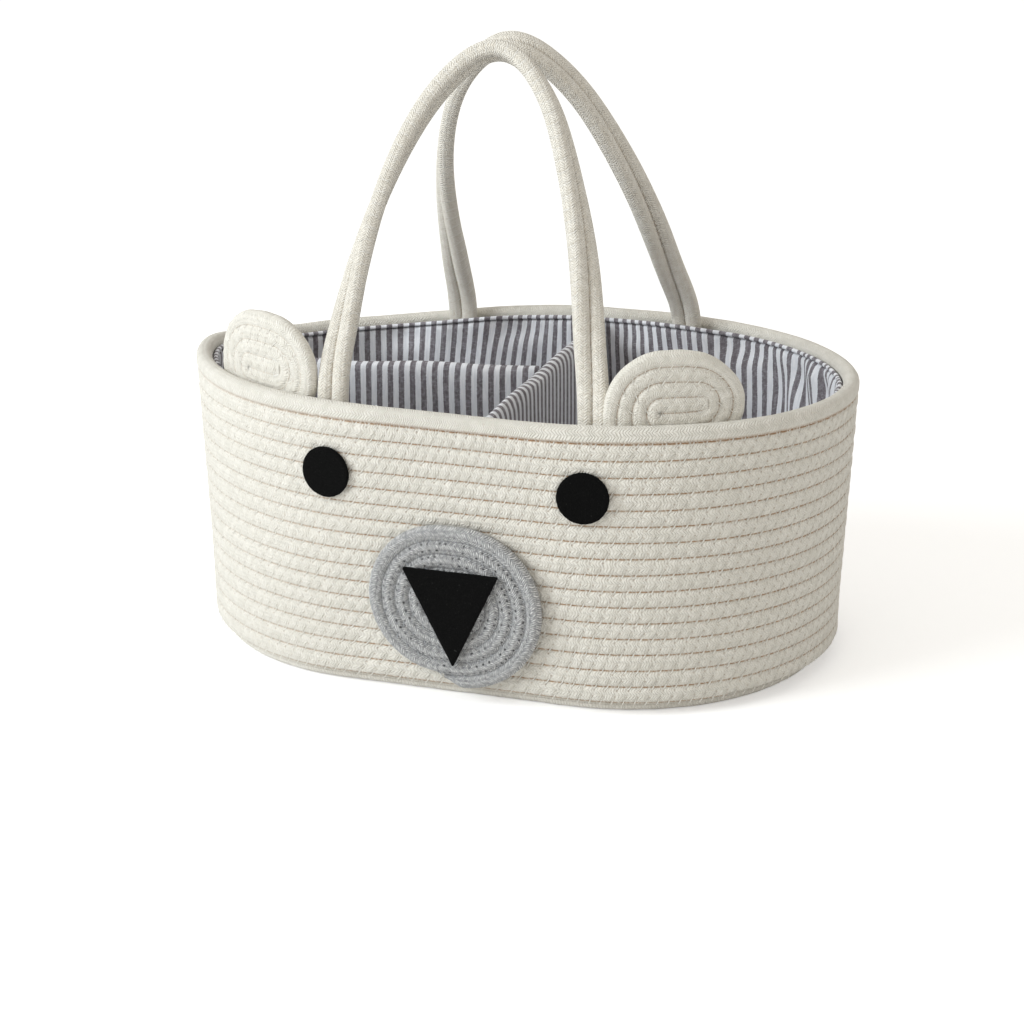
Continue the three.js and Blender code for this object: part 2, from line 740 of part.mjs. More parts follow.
// Handles
for (const [name, side] of [
  ["front", -1],
  ["back", 1],
]) {
  const arch = new THREE.Group();
  arch.position.set(0, side * legY, hingeHeight);
  arch.rotation.x = side * lean;
  caddy.add(arch);
  add(`${name}_handle_inner_rope`, handleRope(true), creamRope, arch);
  add(`${name}_handle_outer_rope`, handleRope(false), creamRope, arch);
  for (const [hand, way] of [
    ["left", -1],
    ["right", 1],
  ]) {
    for (const [rank, shift] of [
      ["inner", -1],
      ["outer", 1],
    ]) {
      const foot = add(`${name}_${hand}_foot_${rank}_rope`, footRope(), creamRope);
      const x = way * (spread / 2 + (shift * strandPitch) / 2);
      foot.position.set(x, side * legY, hingeHeight - legRadius - clear);
    }
  }
}

// Divider: a T of two covered boards, held by three pairs of hook-and-loop strips
const atEnds = (endAt) => ({ bottom: endAt(dividerBottom), top: endAt(dividerTop) });
const crossPlace = (z, back) => placeAtX(divider.x, z, 0, back);
const crossEnd = (back) => (z) => wallPoint(crossPlace(z, back), z, liningInset + stripStack).y;
const cross = coverAndBoard({ left: atEnds(crossEnd(false)), right: atEnds(crossEnd(true)), drop: 0 });
const crossGroup = new THREE.Group();
crossGroup.position.x = divider.x;
crossGroup.rotation.z = quarter;
caddy.add(crossGroup);
add("cross_divider_cover", cross.cover, stripedCotton, crossGroup);
add("cross_divider_board", cross.board, board, crossGroup);

const long = coverAndBoard({
  left: atEnds((z) => wallPoint(leftEnd, z, liningInset + stripStack).x),
  right: atEnds(() => divider.x - divider.thickness / 2 - clear),
  drop: divider.leftDrop,
});
add("long_divider_cover", long.cover, stripedCotton);
add("long_divider_board", long.board, board);

for (const [name, place] of [
  ["front", crossPlace(stripMiddle, false)],
  ["back", crossPlace(stripMiddle, true)],
  ["left", leftEnd],
]) {
  placeStrip(add(`loop_strip_${name}`, strip(hookAndLoop.loop), nylon), place, loopDepth);
  placeStrip(add(`hook_strip_${name}`, strip(hookAndLoop.hook), nylon), place, hookDepth);
}

console.log(reports.join("\n"));

export default caddy;
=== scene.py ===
import math

import bpy
import numpy as np
from mathutils import Matrix


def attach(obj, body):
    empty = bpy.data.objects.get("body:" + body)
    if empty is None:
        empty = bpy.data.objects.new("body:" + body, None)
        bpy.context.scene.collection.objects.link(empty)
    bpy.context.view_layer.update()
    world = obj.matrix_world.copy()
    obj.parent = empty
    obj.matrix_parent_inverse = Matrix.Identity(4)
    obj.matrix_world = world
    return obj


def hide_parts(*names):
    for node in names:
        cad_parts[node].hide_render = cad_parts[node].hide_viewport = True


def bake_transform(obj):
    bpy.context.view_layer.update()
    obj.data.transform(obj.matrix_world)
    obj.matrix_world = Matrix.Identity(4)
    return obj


# A rope caddy: sewn rope coils, striped cotton lining, felt face and two rope handles.
# All lengths below are millimetres and are turned into metres when a mesh is made.
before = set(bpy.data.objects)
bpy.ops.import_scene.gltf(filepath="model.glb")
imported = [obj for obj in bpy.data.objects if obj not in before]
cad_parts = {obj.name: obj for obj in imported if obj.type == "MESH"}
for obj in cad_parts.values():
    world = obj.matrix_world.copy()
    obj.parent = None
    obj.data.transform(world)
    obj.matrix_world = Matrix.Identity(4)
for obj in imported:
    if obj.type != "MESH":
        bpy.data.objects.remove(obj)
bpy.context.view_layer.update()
mm = 0.001
print("frame loaded")


# Camera, floor and light
# Puts a camera or a lamp where it looks from place to aim, rolled about that line
def addViewer(name, data, place, aim, roll=0.0):
    back = (place - aim) / np.linalg.norm(place - aim)
    right = np.cross([0, 0, 1.0], back)
    right /= np.linalg.norm(right)
    up = np.cross(back, right)
    c, s = math.cos(roll), math.sin(roll)
    turn = np.eye(4)
    turn[:3] = np.stack([right * c + up * s, up * c - right * s, back, place], 1)
    viewer = bpy.data.objects.new(name, data)
    bpy.context.scene.collection.objects.link(viewer)
    viewer.matrix_world = Matrix(turn.tolist())
    return viewer


def placeCamera(settings):
    azimuth, elevation, roll = (math.radians(settings[k]) for k in ("azimuth", "elevation", "roll"))
    level = math.cos(elevation)
    back = np.array([math.sin(azimuth) * level, -math.cos(azimuth) * level, math.sin(elevation)])
    data = bpy.data.cameras.new("camera")
    data.lens, data.sensor_width = settings["lens"], 36
    data.shift_x, data.shift_y = settings["shift"]
    aim = np.array(settings["aim"])
    place = aim + back * settings["distance"]
    bpy.context.scene.camera = addViewer("camera", data, place, aim, roll)


placeCamera(
    {
        "azimuth": 18.477, "elevation": 19.282, "roll": -0.32, "distance": 1.61199,
        "aim": (0, 0, 0.085), "lens": 92.91, "shift": (-0.0101, -0.0212),
    }
)
bpy.context.scene.view_settings.view_transform = "Standard"


# Colour: an sRGB hex value to linear light
def toLinear(hexColour):
    channels = [int(hexColour[i : i + 2], 16) / 255 for i in (1, 3, 5)]
    return (*[c / 12.92 if c <= 0.04045 else ((c + 0.055) / 1.055) ** 2.4 for c in channels], 1)


# One node. Inputs, by name or number, are signals, values or hex colours, and settings are the
# node's own. Gives its outputs by number and by name.
def addNode(tree, kind, inputs=None, **settings):
    node = tree.nodes.new(kind)
    for key, value in settings.items():
        setattr(node, key, value)
    for key, value in (inputs or {}).items():
        if isinstance(value, Signal):
            tree.links.new(value.socket, node.inputs[key])
        else:
            node.inputs[key].default_value = toLinear(value) if isinstance(value, str) else value
    outputs = [Signal(tree, socket) for socket in node.outputs]
    return {key: out for i, out in enumerate(outputs) for key in (i, out.socket.name)}


# A node's output to reckon with: each sum, product or named operation is one Math node
class Signal:
    def __init__(self, tree, socket):
        self.tree, self.socket = tree, socket

    def to(self, operation, *others):
        values = dict(enumerate((self, *others)))
        return addNode(self.tree, "ShaderNodeMath", values, operation=operation)[0]

    def __add__(self, other):
        return self.to("ADD", other)

    def __sub__(self, other):
        return self.to("SUBTRACT", other)

    def __mul__(self, other):
        return self.to("MULTIPLY", other)

    def inverse(self):
        return self.to("MULTIPLY_ADD", -1.0, 1.0)

    # 0 at low, 1 at high, smooth between; low may be the greater one
    def ramp(self, low, high):
        values = {0: self, 1: low, 2: high}
        return addNode(self.tree, "ShaderNodeMapRange", values, interpolation_type="SMOOTHSTEP")[0]

    # From the first colour to the second by this share
    def mix(self, first, second):
        values = {0: self, 6: first, 7: second}
        return addNode(self.tree, "ShaderNodeMix", values, data_type="RGBA")[2]


# Noise in the object's own metres; size is the length of one patch in millimetres
def grain(tree, size, detail=2.0):
    place = addNode(tree, "ShaderNodeTexCoord")["Object"]
    values = {"Vector": place, "Scale": 1 / (size * mm), "Detail": detail}
    return addNode(tree, "ShaderNodeTexNoise", values)[0]


# Noise over two signals, in patches of 1 / scale
def noiseOver(tree, x, y, scale):
    place = addNode(tree, "ShaderNodeCombineXYZ", {0: x, 1: y})[0]
    values = {"Vector": place, "Scale": scale, "Detail": 2.0}
    return addNode(tree, "ShaderNodeTexNoise", values)[0]


# The two numbers of a layer
def layerPair(tree, name):
    pair = addNode(tree, "ShaderNodeUVMap", uv_map=name)[0]
    parts = addNode(tree, "ShaderNodeSeparateXYZ", {0: pair})
    return parts[0], parts[1]


def newMaterial(name):
    material = bpy.data.materials.new(name)
    material.use_nodes = True
    material.node_tree.nodes.clear()
    return material, material.node_tree


def finishMaterial(tree, colour, roughness, height, depth, sheen, specular=0.25):
    bump = {"Strength": 1.0, "Distance": depth * mm, "Height": height}
    inputs = {
        "Base Color": colour,
        "Roughness": roughness,
        "Normal": addNode(tree, "ShaderNodeBump", bump)[0],
        "Sheen Weight": sheen,
        "Sheen Roughness": 0.5,
        "Specular IOR Level": specular,
    }
    shader = addNode(tree, "ShaderNodeBsdfPrincipled", inputs)[0]
    addNode(tree, "ShaderNodeOutputMaterial", {"Surface": shader})


# A matt floor that is lifted to white for the camera, white surroundings, and one soft lamp
def makeStage(settings):
    bpy.ops.mesh.primitive_plane_add(size=settings["floorSize"])
    floor = bpy.context.object
    floor.name = "floor"
    material, tree = newMaterial("pale floor")
    white = (1, 1, 1, 1)
    diffuse = addNode(tree, "ShaderNodeBsdfDiffuse", {"Color": settings["floorColour"]})[0]
    strength = addNode(tree, "ShaderNodeLightPath")["Is Camera Ray"] * settings["floorLift"]
    lift = addNode(tree, "ShaderNodeEmission", {"Color": white, "Strength": strength})[0]
    both = addNode(tree, "ShaderNodeAddShader", {0: diffuse, 1: lift})[0]
    addNode(tree, "ShaderNodeOutputMaterial", {"Surface": both})
    floor.data.materials.append(material)

    world = bpy.context.scene.world or bpy.data.worlds.new("world")
    bpy.context.scene.world = world
    world.use_nodes = True
    tree = world.node_tree
    tree.nodes.clear()
    path = addNode(tree, "ShaderNodeLightPath")
    seen = path["Is Camera Ray"].to("MAXIMUM", path["Is Transmission Ray"])
    levels = {0: seen, 2: settings["worldStrength"], 3: 1.0}
    strength = addNode(tree, "ShaderNodeMix", levels, data_type="FLOAT")[0]
    tint = seen.mix((*settings["worldColour"], 1), white)
    background = addNode(tree, "ShaderNodeBackground", {"Color": tint, "Strength": strength})[0]
    addNode(tree, "ShaderNodeOutputWorld", {"Surface": background})

    data = bpy.data.lights.new("keyLight", "AREA")
    data.shape, data.size, data.energy = "DISK", settings["lampSize"], settings["lampEnergy"]
    data.color = settings["lampColour"]
    addViewer("keyLight", data, *(np.array(settings[k], float) for k in ("lampPlace", "lampAim")))


makeStage(
    {
        "floorSize": 14, "floorColour": "#f4f4f4", "floorLift": 0.36, "worldStrength": 0.71,
        "worldColour": (1, 0.97, 0.915), "lampPlace": (-1.85, -1.5, 1.35), "lampAim": (0, 0, 0.1),
        "lampSize": 1.7, "lampEnergy": 51, "lampColour": (0.9, 0.96, 1),
    }
)
print("camera, floor and light made")


# Shape helpers
# 3v^2 - 2v^3 for v held between 0 and 1
def smooth(v):
    v = np.clip(v, 0, 1)
    return v * v * (3 - 2 * v)


def lerp(a, b, share):
    return a + (b - a) * share


def stackPoints(x, y, z):
    return np.stack(np.broadcast_arrays(x, y, z), -1).astype(float)


def unit(v):
    return v / np.maximum(np.linalg.norm(v, axis=-1, keepdims=True), 1e-9)


def lengthsAlong(points):
    steps = np.linalg.norm(np.diff(points, axis=0), axis=-1)
    return np.concatenate([[0], np.cumsum(steps)])


# Six times the volume inside quads, to tell which way they face
def signedVolume(points, quads):
    a, b, c, d = (points[quads[:, i]] for i in range(4))
    return np.sum(a * np.cross(b, c)) + np.sum(a * np.cross(c, d))


# Points (mm), quads and further faces as one mesh object, turned to face out where it is closed.
# Layers are per corner of a quad, marks per point.
def makePiece(name, points, quads, material, caps=(), layers=None, marks=None, closed=True):
    layers = layers or {}
    if closed and signedVolume(points, quads) < 0:
        quads, caps = quads[:, ::-1], [c[::-1] for c in caps]
        layers = {k: v[:, ::-1] for k, v in layers.items()}
    mesh = bpy.data.meshes.new(name)
    corners = np.concatenate([quads.ravel(), *caps]).astype(np.int32)
    counts = np.concatenate([np.full(len(quads), 4), [len(c) for c in caps]]).astype(np.int32)
    mesh.vertices.add(len(points))
    mesh.vertices.foreach_set("co", (points * mm).astype(np.float32).ravel())
    mesh.loops.add(len(corners))
    mesh.loops.foreach_set("vertex_index", corners)
    mesh.polygons.add(len(counts))
    starts = np.concatenate([[0], np.cumsum(counts)[:-1]]).astype(np.int32)
    mesh.polygons.foreach_set("loop_start", starts)
    for layerName, values in layers.items():
        full = np.zeros((len(corners), 2), np.float32)
        full[: quads.size] = values.reshape(-1, 2)
        mesh.uv_layers.new(name=layerName).data.foreach_set("uv", full.ravel())
    for markName, values in (marks or {}).items():
        attribute = mesh.attributes.new(markName, "FLOAT", "POINT")
        attribute.data.foreach_set("value", values.astype(np.float32).ravel())
    mesh.update(calc_edges=True)
    mesh.validate()
    mesh.shade_smooth()
    mesh.materials.append(material)
    piece = bpy.data.objects.new(name, mesh)
    bpy.context.scene.collection.objects.link(piece)
    return piece


# What a piece moves with and stands for
def enlist(piece, slotName, body, *nodes):
    if nodes:
        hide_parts(*nodes)
    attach(piece, body)


# The four corners of every cell of a table, in order round the cell
def cells(t):
    return np.stack([t[..., :-1, :-1], t[..., :-1, 1:], t[..., 1:, 1:], t[..., 1:, :-1]], -1)


# A layer's corners from tables of its two numbers
def layerCells(first, second, shape):
    pair = [cells(np.broadcast_to(table, shape)) for table in (first, second)]
    return np.stack(pair, -1).reshape(-1, 4, 2)


# Numbers points in a table of this shape, and closes its rows for the quads
def numberPoints(*shape):
    index = np.arange(math.prod(shape)).reshape(shape)
    return index, cells(np.concatenate([index, index[..., :1]], -1)).reshape(-1, 4)


# A closed tube through rings of points (count, sides, 3). U runs along in metres, V round it;
# the layer Stitch holds each ring's two stitch phases.
def tubePiece(name, rings, material, along=None, shares=None, marks=None, stitches=None):
    count, sides = rings.shape[:2]
    index, quads = numberPoints(count, sides)
    layers = {}
    if along is not None:
        layers["Rope"] = layerCells(along[:, None] * mm, shares, (count, sides + 1))
    if stitches is not None:
        layers["Stitch"] = layerCells(stitches[:, :1], stitches[:, 1:], (count, sides + 1))
    caps = [index[0][::-1], index[-1]]
    return makePiece(name, rings.reshape(-1, 3), quads, material, caps, layers, marks)


# Short sewn threads: centres (number, rings, 3) with a direction that faces out of the cloth
def threadPiece(name, centres, outward, radius, material, sides=4):
    along = unit(np.gradient(centres, axis=1))
    out = unit(outward[:, None] - along * np.sum(outward[:, None] * along, -1, keepdims=True))
    across = np.cross(along, out)
    turns = 2 * np.pi * (np.arange(sides) + 0.5) / sides
    c, s = np.cos(turns)[:, None], np.sin(turns)[:, None]
    rings = centres[:, :, None] + radius * (c * out[:, :, None] + s * across[:, :, None])
    index, quads = numberPoints(*rings.shape[:3])
    quads = np.concatenate([quads, index[:, 0, ::-1], index[:, -1]])
    return makePiece(name, rings.reshape(-1, 3), quads, material)


# A round sheet through rows of points (rows, columns, 3), with its flat place in mm as UV
def sheetPiece(name, grid, flat, material, marks=None):
    _, quads = numberPoints(*grid.shape[:2])
    layers = {"Cloth": layerCells(flat[..., 0] * mm, flat[..., 1] * mm, flat.shape[:2])}
    points = grid.reshape(-1, 3)
    return makePiece(name, points, quads, material, layers=layers, marks=marks, closed=False)


# Section of a rope: a superellipse |x|^n + |z|^n = 1 at the given angles
def ropeSection(degrees, squareness):
    turn = np.radians(degrees)
    c, s = np.cos(turn), np.sin(turn)
    size = (np.abs(c) ** squareness + np.abs(s) ** squareness) ** (-1 / squareness)
    return c * size, s * size


def roundShares(degrees):
    values = (np.asarray(degrees, float) + 180) / 360
    return np.append(values, values[0] + 1)


# Materials
# Zigzag sewing in the groove between two ropes. The layer Stitch holds the stitch phase of the
# groove above and of the one below, rise is the height above the rope's middle. A thread runs
# from a needle hole at each whole phase to one at each half phase.
def zigzagMasks(tree, settings):
    marks = [addNode(tree, "ShaderNodeAttribute", attribute_name=n) for n in ("rise", "sewn")]
    rise, sewn = (mark["Fac"] for mark in marks)
    upper, lower = layerPair(tree, "Stitch")
    above = rise.to("GREATER_THAN", settings["divide"])
    phase = (above * (upper - lower) + lower) * settings["perStitch"]
    high = above * -settings["pitch"] + (rise + settings["pitch"] / 2)
    low, reach = settings["holeBelow"], settings["holeAbove"] - settings["holeBelow"]
    half = settings["stitch"] / 2
    line = (phase * 2.0).to("PINGPONG", 1.0) * reach + low
    away = (high - line).to("ABSOLUTE") * (half / math.hypot(half, reach))
    # the thread that leans forward lies tighter than the one that comes back
    tight = phase.to("FRACT").to("LESS_THAN", 0.5) * (settings["loose"] - 1.0) + 1.0

    # distance from the nearest hole of a row at this height
    def fromHole(shift, height):
        x = ((phase + shift).to("FRACT") - 0.5) * settings["stitch"]
        y = high - height
        return (x * x + y * y).to("SQRT")

    hole = fromHole(0.5, low).to("MINIMUM", fromHole(0.0, settings["holeAbove"]))
    hole = hole.ramp(settings["holeSize"], settings["holeSize"] * 0.3)
    hole = hole * (grain(tree, 6, 1.0).ramp(0.38, 0.6) * 0.75 + 0.25)
    thread = away.ramp(settings["threadSize"], settings["threadSize"] * 0.35) * tight
    valley = away.ramp(settings["valleySize"], 0.0) * tight
    near = high.to("ABSOLUTE").ramp(2.4, 0.9)
    return thread * sewn, valley * sewn, hole * sewn, near


# Braided cotton: machine braiding gives columns of yarns that slant by turns to either side, with
# fibres and specks. The zigzag sewing pulls the rope in. Painted shade darkens the braid between
# its yarns, the sewing's valleys and needle holes, and lies as broken brown dashes in the grooves.
# Real fibres are too fine to show, so their grain is drawn 0.6 mm wide.
def ropeMaterial(name, settings):
    material, tree = newMaterial(name)
    u, v = layerPair(tree, "Rope")
    column = v * settings["columns"]
    inside = column.to("FRACT")
    way = column.to("FLOOR").to("PINGPONG", 1.0) * 2.0 - 1.0
    slant = way * inside * settings["slant"]
    wander = grain(tree, 4, 1.0) * settings["wander"]
    phase = u * (1 / (settings["yarn"] * mm)) + slant + wander
    yarn = (phase.to("FRACT") * math.pi).to("SINE")
    border = (inside * math.pi).to("SINE") * settings["border"] + (1 - settings["border"])
    uneven = noiseOver(tree, phase, column, 1.4)
    braid = yarn * border * (uneven * settings["uneven"] + (1 - settings["uneven"] / 2))
    patch = grain(tree, settings["patch"])
    speck = grain(tree, settings["speckSize"], 1.0)
    speck = speck.ramp(settings["speckFrom"], settings["speckFrom"] + 0.07)

    base = ((uneven - patch) * settings["mottle"] + patch).ramp(0.36, 0.64)
    base = base.mix(settings["low"], settings["high"])
    base = (braid.inverse() * settings["braidShade"]).mix(base, settings["shadow"])
    base = (speck * settings["speckShare"]).mix(base, settings["speck"])
    # Broken brown dashes of painted shade in the grooves between ropes
    seam = addNode(tree, "ShaderNodeAttribute", attribute_name="seam")["Fac"]
    dash = seam * (grain(tree, 1.6).ramp(0.3, 0.55) * 0.6 + 0.4)
    height = grain(tree, settings["fibre"], 3.0) * settings["fibreDepth"]
    height = height + braid * settings["braidDepth"]
    if settings["sewn"]:
        thread, valley, hole, near = zigzagMasks(tree, settings)
        base = (valley * settings["valleyShade"]).mix(base, settings["shadow"])
        dash = dash * (thread * -0.85 + 1.0)
        height = height + thread * settings["threadRise"]
        height = height - valley * settings["valleyDepth"] - hole * settings["holeDepth"]
    base = (dash * settings["creaseShadeShare"]).mix(base, settings["seam"])
    if settings["sewn"]:
        # Needle holes painted dark: painted shade inside them
        base = (hole * settings["holeShare"]).mix(base, settings["hole"])
        white = thread * (near * 0.7 + 0.15)
        base = (white * settings["threadShare"]).mix(base, settings["thread"])
    finishMaterial(tree, base, 0.93, height, settings["depth"], settings["sheen"])
    return material


# The brown groove and needle-hole colours and the shadow colour are painted shade: in the grooves,
# in the holes, and between the yarns and in the sewing valleys
creamSettings = {
    "sewn": True, "pitch": 9.55, "stitch": 7.2, "perStitch": 1, "divide": 0.8, "holeBelow": -2.0,
    "holeAbove": 3.6, "holeSize": 0.75, "holeDepth": 0.5, "holeShare": 0.55, "hole": "#9a7d60",
    "threadSize": 0.42, "threadRise": 0.9, "threadShare": 0.9, "thread": "#f4f2ec", "loose": 0.45,
    "valleySize": 1.7, "valleyDepth": 1.0, "valleyShade": 0.3, "columns": 14, "slant": 0.9,
    "yarn": 1.8, "wander": 1.6, "border": 0.6, "uneven": 1.5, "fibre": 0.6, "fibreDepth": 0.7,
    "patch": 6, "mottle": 0.25, "low": "#e0ddd4", "high": "#e9e6de", "shadow": "#cdc6b8",
    "braidShade": 0.32, "braidDepth": 1.0, "speck": "#c0ae95", "speckSize": 0.9, "speckFrom": 0.66,
    "speckShare": 0.35, "seam": "#9a7248", "creaseShadeShare": 0.95, "depth": 0.42, "sheen": 0.2,
}
creamRope = ropeMaterial("cream cotton rope", creamSettings)
plainRope = ropeMaterial(
    "cream cotton rope, unstitched",
    {
        **creamSettings,
        "sewn": False, "border": 0.3, "yarn": 1.7, "columns": 12, "slant": 1.1, "wander": 1.3,
        "braidShade": 0.35, "braidDepth": 1.3, "depth": 0.34,
    },
)
# The handles are the wall's rope. Their slightly lighter colours are painted light.
handleCotton = ropeMaterial(
    "cream cotton handle rope",
    {
        **creamSettings,
        "pitch": 8.6, "divide": 0.0, "holeBelow": -0.9, "holeAbove": 4.2, "speckFrom": 0.62,
        "low": "#e5e1d7", "high": "#eeebe3", "shadow": "#d2c9ba", "border": 0.5, "yarn": 1.6,
        "wander": 1.2, "columns": 12, "slant": 1.1, "braidShade": 0.4, "braidDepth": 1.6,
        "depth": 0.3, "valleyShade": 0.3, "holeSize": 0.7, "holeDepth": 0.1, "holeShare": 0.2,
        "seam": "#c89c70", "creaseShadeShare": 0.7,
    },
)
earRope = ropeMaterial(
    "cream cotton ear rope",
    {
        **creamSettings,
        "pitch": 8.75, "yarn": 1.55, "columns": 12, "slant": 1.1, "valleyDepth": 0.45,
        "valleyShade": 0.2, "holeShare": 0.35, "holeDepth": 0.25, "depth": 0.38,
    },
)
# Its dark grey grooves and near-black needle holes are painted shade
greyRope = ropeMaterial(
    "mottled grey cotton rope",
    {
        **creamSettings,
        "pitch": 8.4, "holeBelow": -1.4, "holeAbove": 2.6, "low": "#abacae", "high": "#f0f0ef",
        "stitch": 3.6, "perStitch": 2, "patch": 1.1, "mottle": 0.75, "columns": 9, "slant": 1.7,
        "yarn": 1.35, "wander": 1.2, "uneven": 1.6, "braidShade": 0.8, "braidDepth": 1.5,
        "threadSize": 0.34, "valleySize": 1.1, "shadow": "#6e6f72", "speck": "#f0efed",
        "speckSize": 0.7, "speckFrom": 0.62, "speckShare": 0.4, "seam": "#55565a",
        "creaseShadeShare": 0.75, "hole": "#18191b", "holeShare": 1.0, "holeSize": 0.85, "holeDepth": 1.2,
        "thread": "#c9cacc", "threadShare": 0.4, "fibreDepth": 1.1,
    },
)


# Spun thread: a tight twist, so it is a little glossier than the rope and hardly mottled
def threadMaterial(name, colour, shadow):
    material, tree = newMaterial(name)
    base = grain(tree, 1.2).mix(shadow, colour)
    finishMaterial(tree, base, 0.75, grain(tree, 0.3), 0.05, 0.2)
    return material


whiteThread = threadMaterial("white sewing cotton", "#f6f4ee", "#ece8de")
greyThread = threadMaterial("grey sewing cotton", "#c3c6ca", "#a5a8ad")


# Felt: matted fibres, slightly uneven, with a few pale flecks of lint. Real fibres are too fine
# to show, so they are drawn 0.5 mm wide.
def feltMaterial():
    material, tree = newMaterial("black wool felt")
    fibre = grain(tree, 0.5, 4.0)
    base = fibre.ramp(0.4, 0.75).mix("#070707", "#121212")
    lint = grain(tree, 1.3, 1.0).ramp(0.74, 0.8)
    base = (lint * 0.35).mix(base, "#4a4a4a")
    finishMaterial(tree, base, 0.97, fibre, 0.5, 0.015, 0.08)
    return material


blackFelt = feltMaterial()


# Woven cotton: yarn-dyed grey stripes with slightly wandering edges, a ladder of light weft
# threads on the dark ones, and slubs that run with the stripe, 1.1 mm wide and 7.7 mm long. Real
# threads lie about 0.35 mm apart. They are drawn 0.55 and 0.9 mm apart, coarse enough to show.
def stripedMaterial(settings):
    material, tree = newMaterial("striped cotton lining")
    x, y = layerPair(tree, "Cloth")
    wander = grain(tree, 45, 1.0) * (2 * settings["wander"] * mm) + (x - settings["wander"] * mm)
    share = (wander * (1 / (settings["pitch"] * mm))).to("FRACT")
    middle = (share - 0.5).to("ABSOLUTE")
    edge = grain(tree, 0.7) * 0.08 - 0.04
    stripe = (middle + edge).ramp(0.235, 0.265)
    warp = (x * (2 * math.pi / (settings["yarn"] * mm))).to("SINE")
    weft = (y * (2 * math.pi / (settings["weft"] * mm))).to("SINE")
    weave = warp * weft
    slub = noiseOver(tree, x * 900.0, y * 130.0, 1.0)
    fleck = slub.ramp(0.35, 0.7)
    rung = (weft * 0.5 + 0.5) * grain(tree, 2.2, 1.0).ramp(0.35, 0.7)
    dark = fleck.mix(settings["dark"], settings["darkFleck"])
    dark = (rung * settings["ladder"]).mix(dark, settings["light"])
    light = fleck.mix(settings["light"], settings["lightFleck"])
    base = (weave * 0.04 + 0.04).mix(stripe.mix(dark, light), "#77767a")
    # Painted shade: a dark line in the crease under the hem
    seam = addNode(tree, "ShaderNodeAttribute", attribute_name="seam")["Fac"]
    base = (seam * 0.75).mix(base, "#3f3c40")
    finishMaterial(tree, base, 0.88, weave * 0.5 + slub, 0.12, 0.15)
    return material


stripedCotton = stripedMaterial(
    {
        "pitch": 7.2, "wander": 0.8, "yarn": 0.55, "weft": 0.9, "ladder": 0.3, "dark": "#6a6469",
        "darkFleck": "#7f797f", "light": "#e4e6ec", "lightFleck": "#f0f1f5",
    }
)


# Hook and loop: a fuzz of fine nylon loops, slightly shiny
def nylonMaterial():
    material, tree = newMaterial("nylon hook and loop")
    fuzz = grain(tree, 0.6, 3.0)
    finishMaterial(tree, fuzz.mix("#77797f", "#a3a5ab"), 0.8, fuzz, 0.4, 0.3)
    return material


nylon = nylonMaterial()
print("materials made")


# The basket's oval
basket = {
    "baseLength": 389, "baseDepth": 251, "rimLength": 406, "rimDepth": 250, "rimStraight": 90,
    "pitch": 9.55, "ropeSize": 9.05, "firstCourse": 12.6425, "courses": 16, "rimCentre": 165.4425,
    "rimTop": 169.9675, "sagDepth": 12.3, "sagFromX": 10, "sagOverX": 150, "sagFromY": -30,
    "sagOverY": 110, "drift": 0.3, "driftFrom": 14, "driftOver": 30, "bulge": 1.6,
    "looseFrom": -190, "looseOver": 170,
}


# Half straight side and end ellipse at height z, each linear from the base to the rim
def ovalAt(z):
    share = z / basket["rimTop"]
    straight = lerp(basket["baseLength"] - basket["baseDepth"], basket["rimStraight"], share) / 2
    endLength = lerp(basket["baseDepth"], basket["rimLength"] - basket["rimStraight"], share) / 2
    endDepth = lerp(basket["baseDepth"], basket["rimDepth"], share) / 2
    return straight, endLength, endDepth


# Wall point: x = side L + a cos(angle), y = b sin(angle), moved in along the normal and let
# down by the sag, which grows from the first course to the rim at the back left
def wallPoint(side, angle, z, inset):
    straight, endLength, endDepth = ovalAt(z)
    c, s = np.cos(angle), np.sin(angle)
    nx, ny = c / endLength, s / endDepth
    size = np.hypot(nx, ny)
    nx, ny = nx / size, ny / size
    x = side * straight + endLength * c
    y = endDepth * s
    foot = basket["firstCourse"] + basket["ropeSize"] / 2
    left = smooth((basket["sagFromX"] - x) / basket["sagOverX"])
    back = smooth((y - basket["sagFromY"]) / basket["sagOverY"])
    down = basket["sagDepth"] * left * back * np.maximum(0, (z - foot) / (basket["rimTop"] - foot))
    # a slow drift in height and depth, so that no course lies quite true
    drift = basket["drift"] * smooth((z - basket["driftFrom"]) / basket["driftOver"])
    lift = drift * np.sin(x / 31 + z / 17) * np.cos(y / 29 + z / 41)
    bulge = drift * basket["bulge"] * np.sin(x / 43 - z / 37 + 1) * np.cos(y / 37 + 2)
    return stackPoints(x - nx * (inset + bulge), y - ny * (inset + bulge), z - down + lift)


# The way round, clockwise from above: left end, back, right end, front. A share of the lap is
# turned into a side and an angle by a table of lengths at mid height.
def lapTable(steps=900):
    quarter = np.pi / 2
    parts = [
        (np.full(steps, -1.0), np.linspace(np.pi, quarter, steps)),
        (np.linspace(-1, 1, steps), np.full(steps, quarter)),
        (np.full(2 * steps, 1.0), np.linspace(quarter, -quarter, 2 * steps)),
        (np.linspace(1, -1, steps), np.full(steps, -quarter)),
        (np.full(steps, -1.0), np.linspace(-quarter, -np.pi, steps)),
    ]
    side = np.concatenate([p[0] for p in parts])
    angle = np.concatenate([p[1] for p in parts])
    straight, endLength, endDepth = ovalAt(basket["rimTop"] / 2)
    x = side * straight + endLength * np.cos(angle)
    y = endDepth * np.sin(angle)
    length = lengthsAlong(np.stack([x, y], -1))
    return length, side, angle


lapLengths, lapSides, lapAngles = lapTable()
lap = lapLengths[-1]


def placeAt(share):
    at = (share - np.floor(share)) * lap
    return np.interp(at, lapLengths, lapSides), np.interp(at, lapLengths, lapAngles)


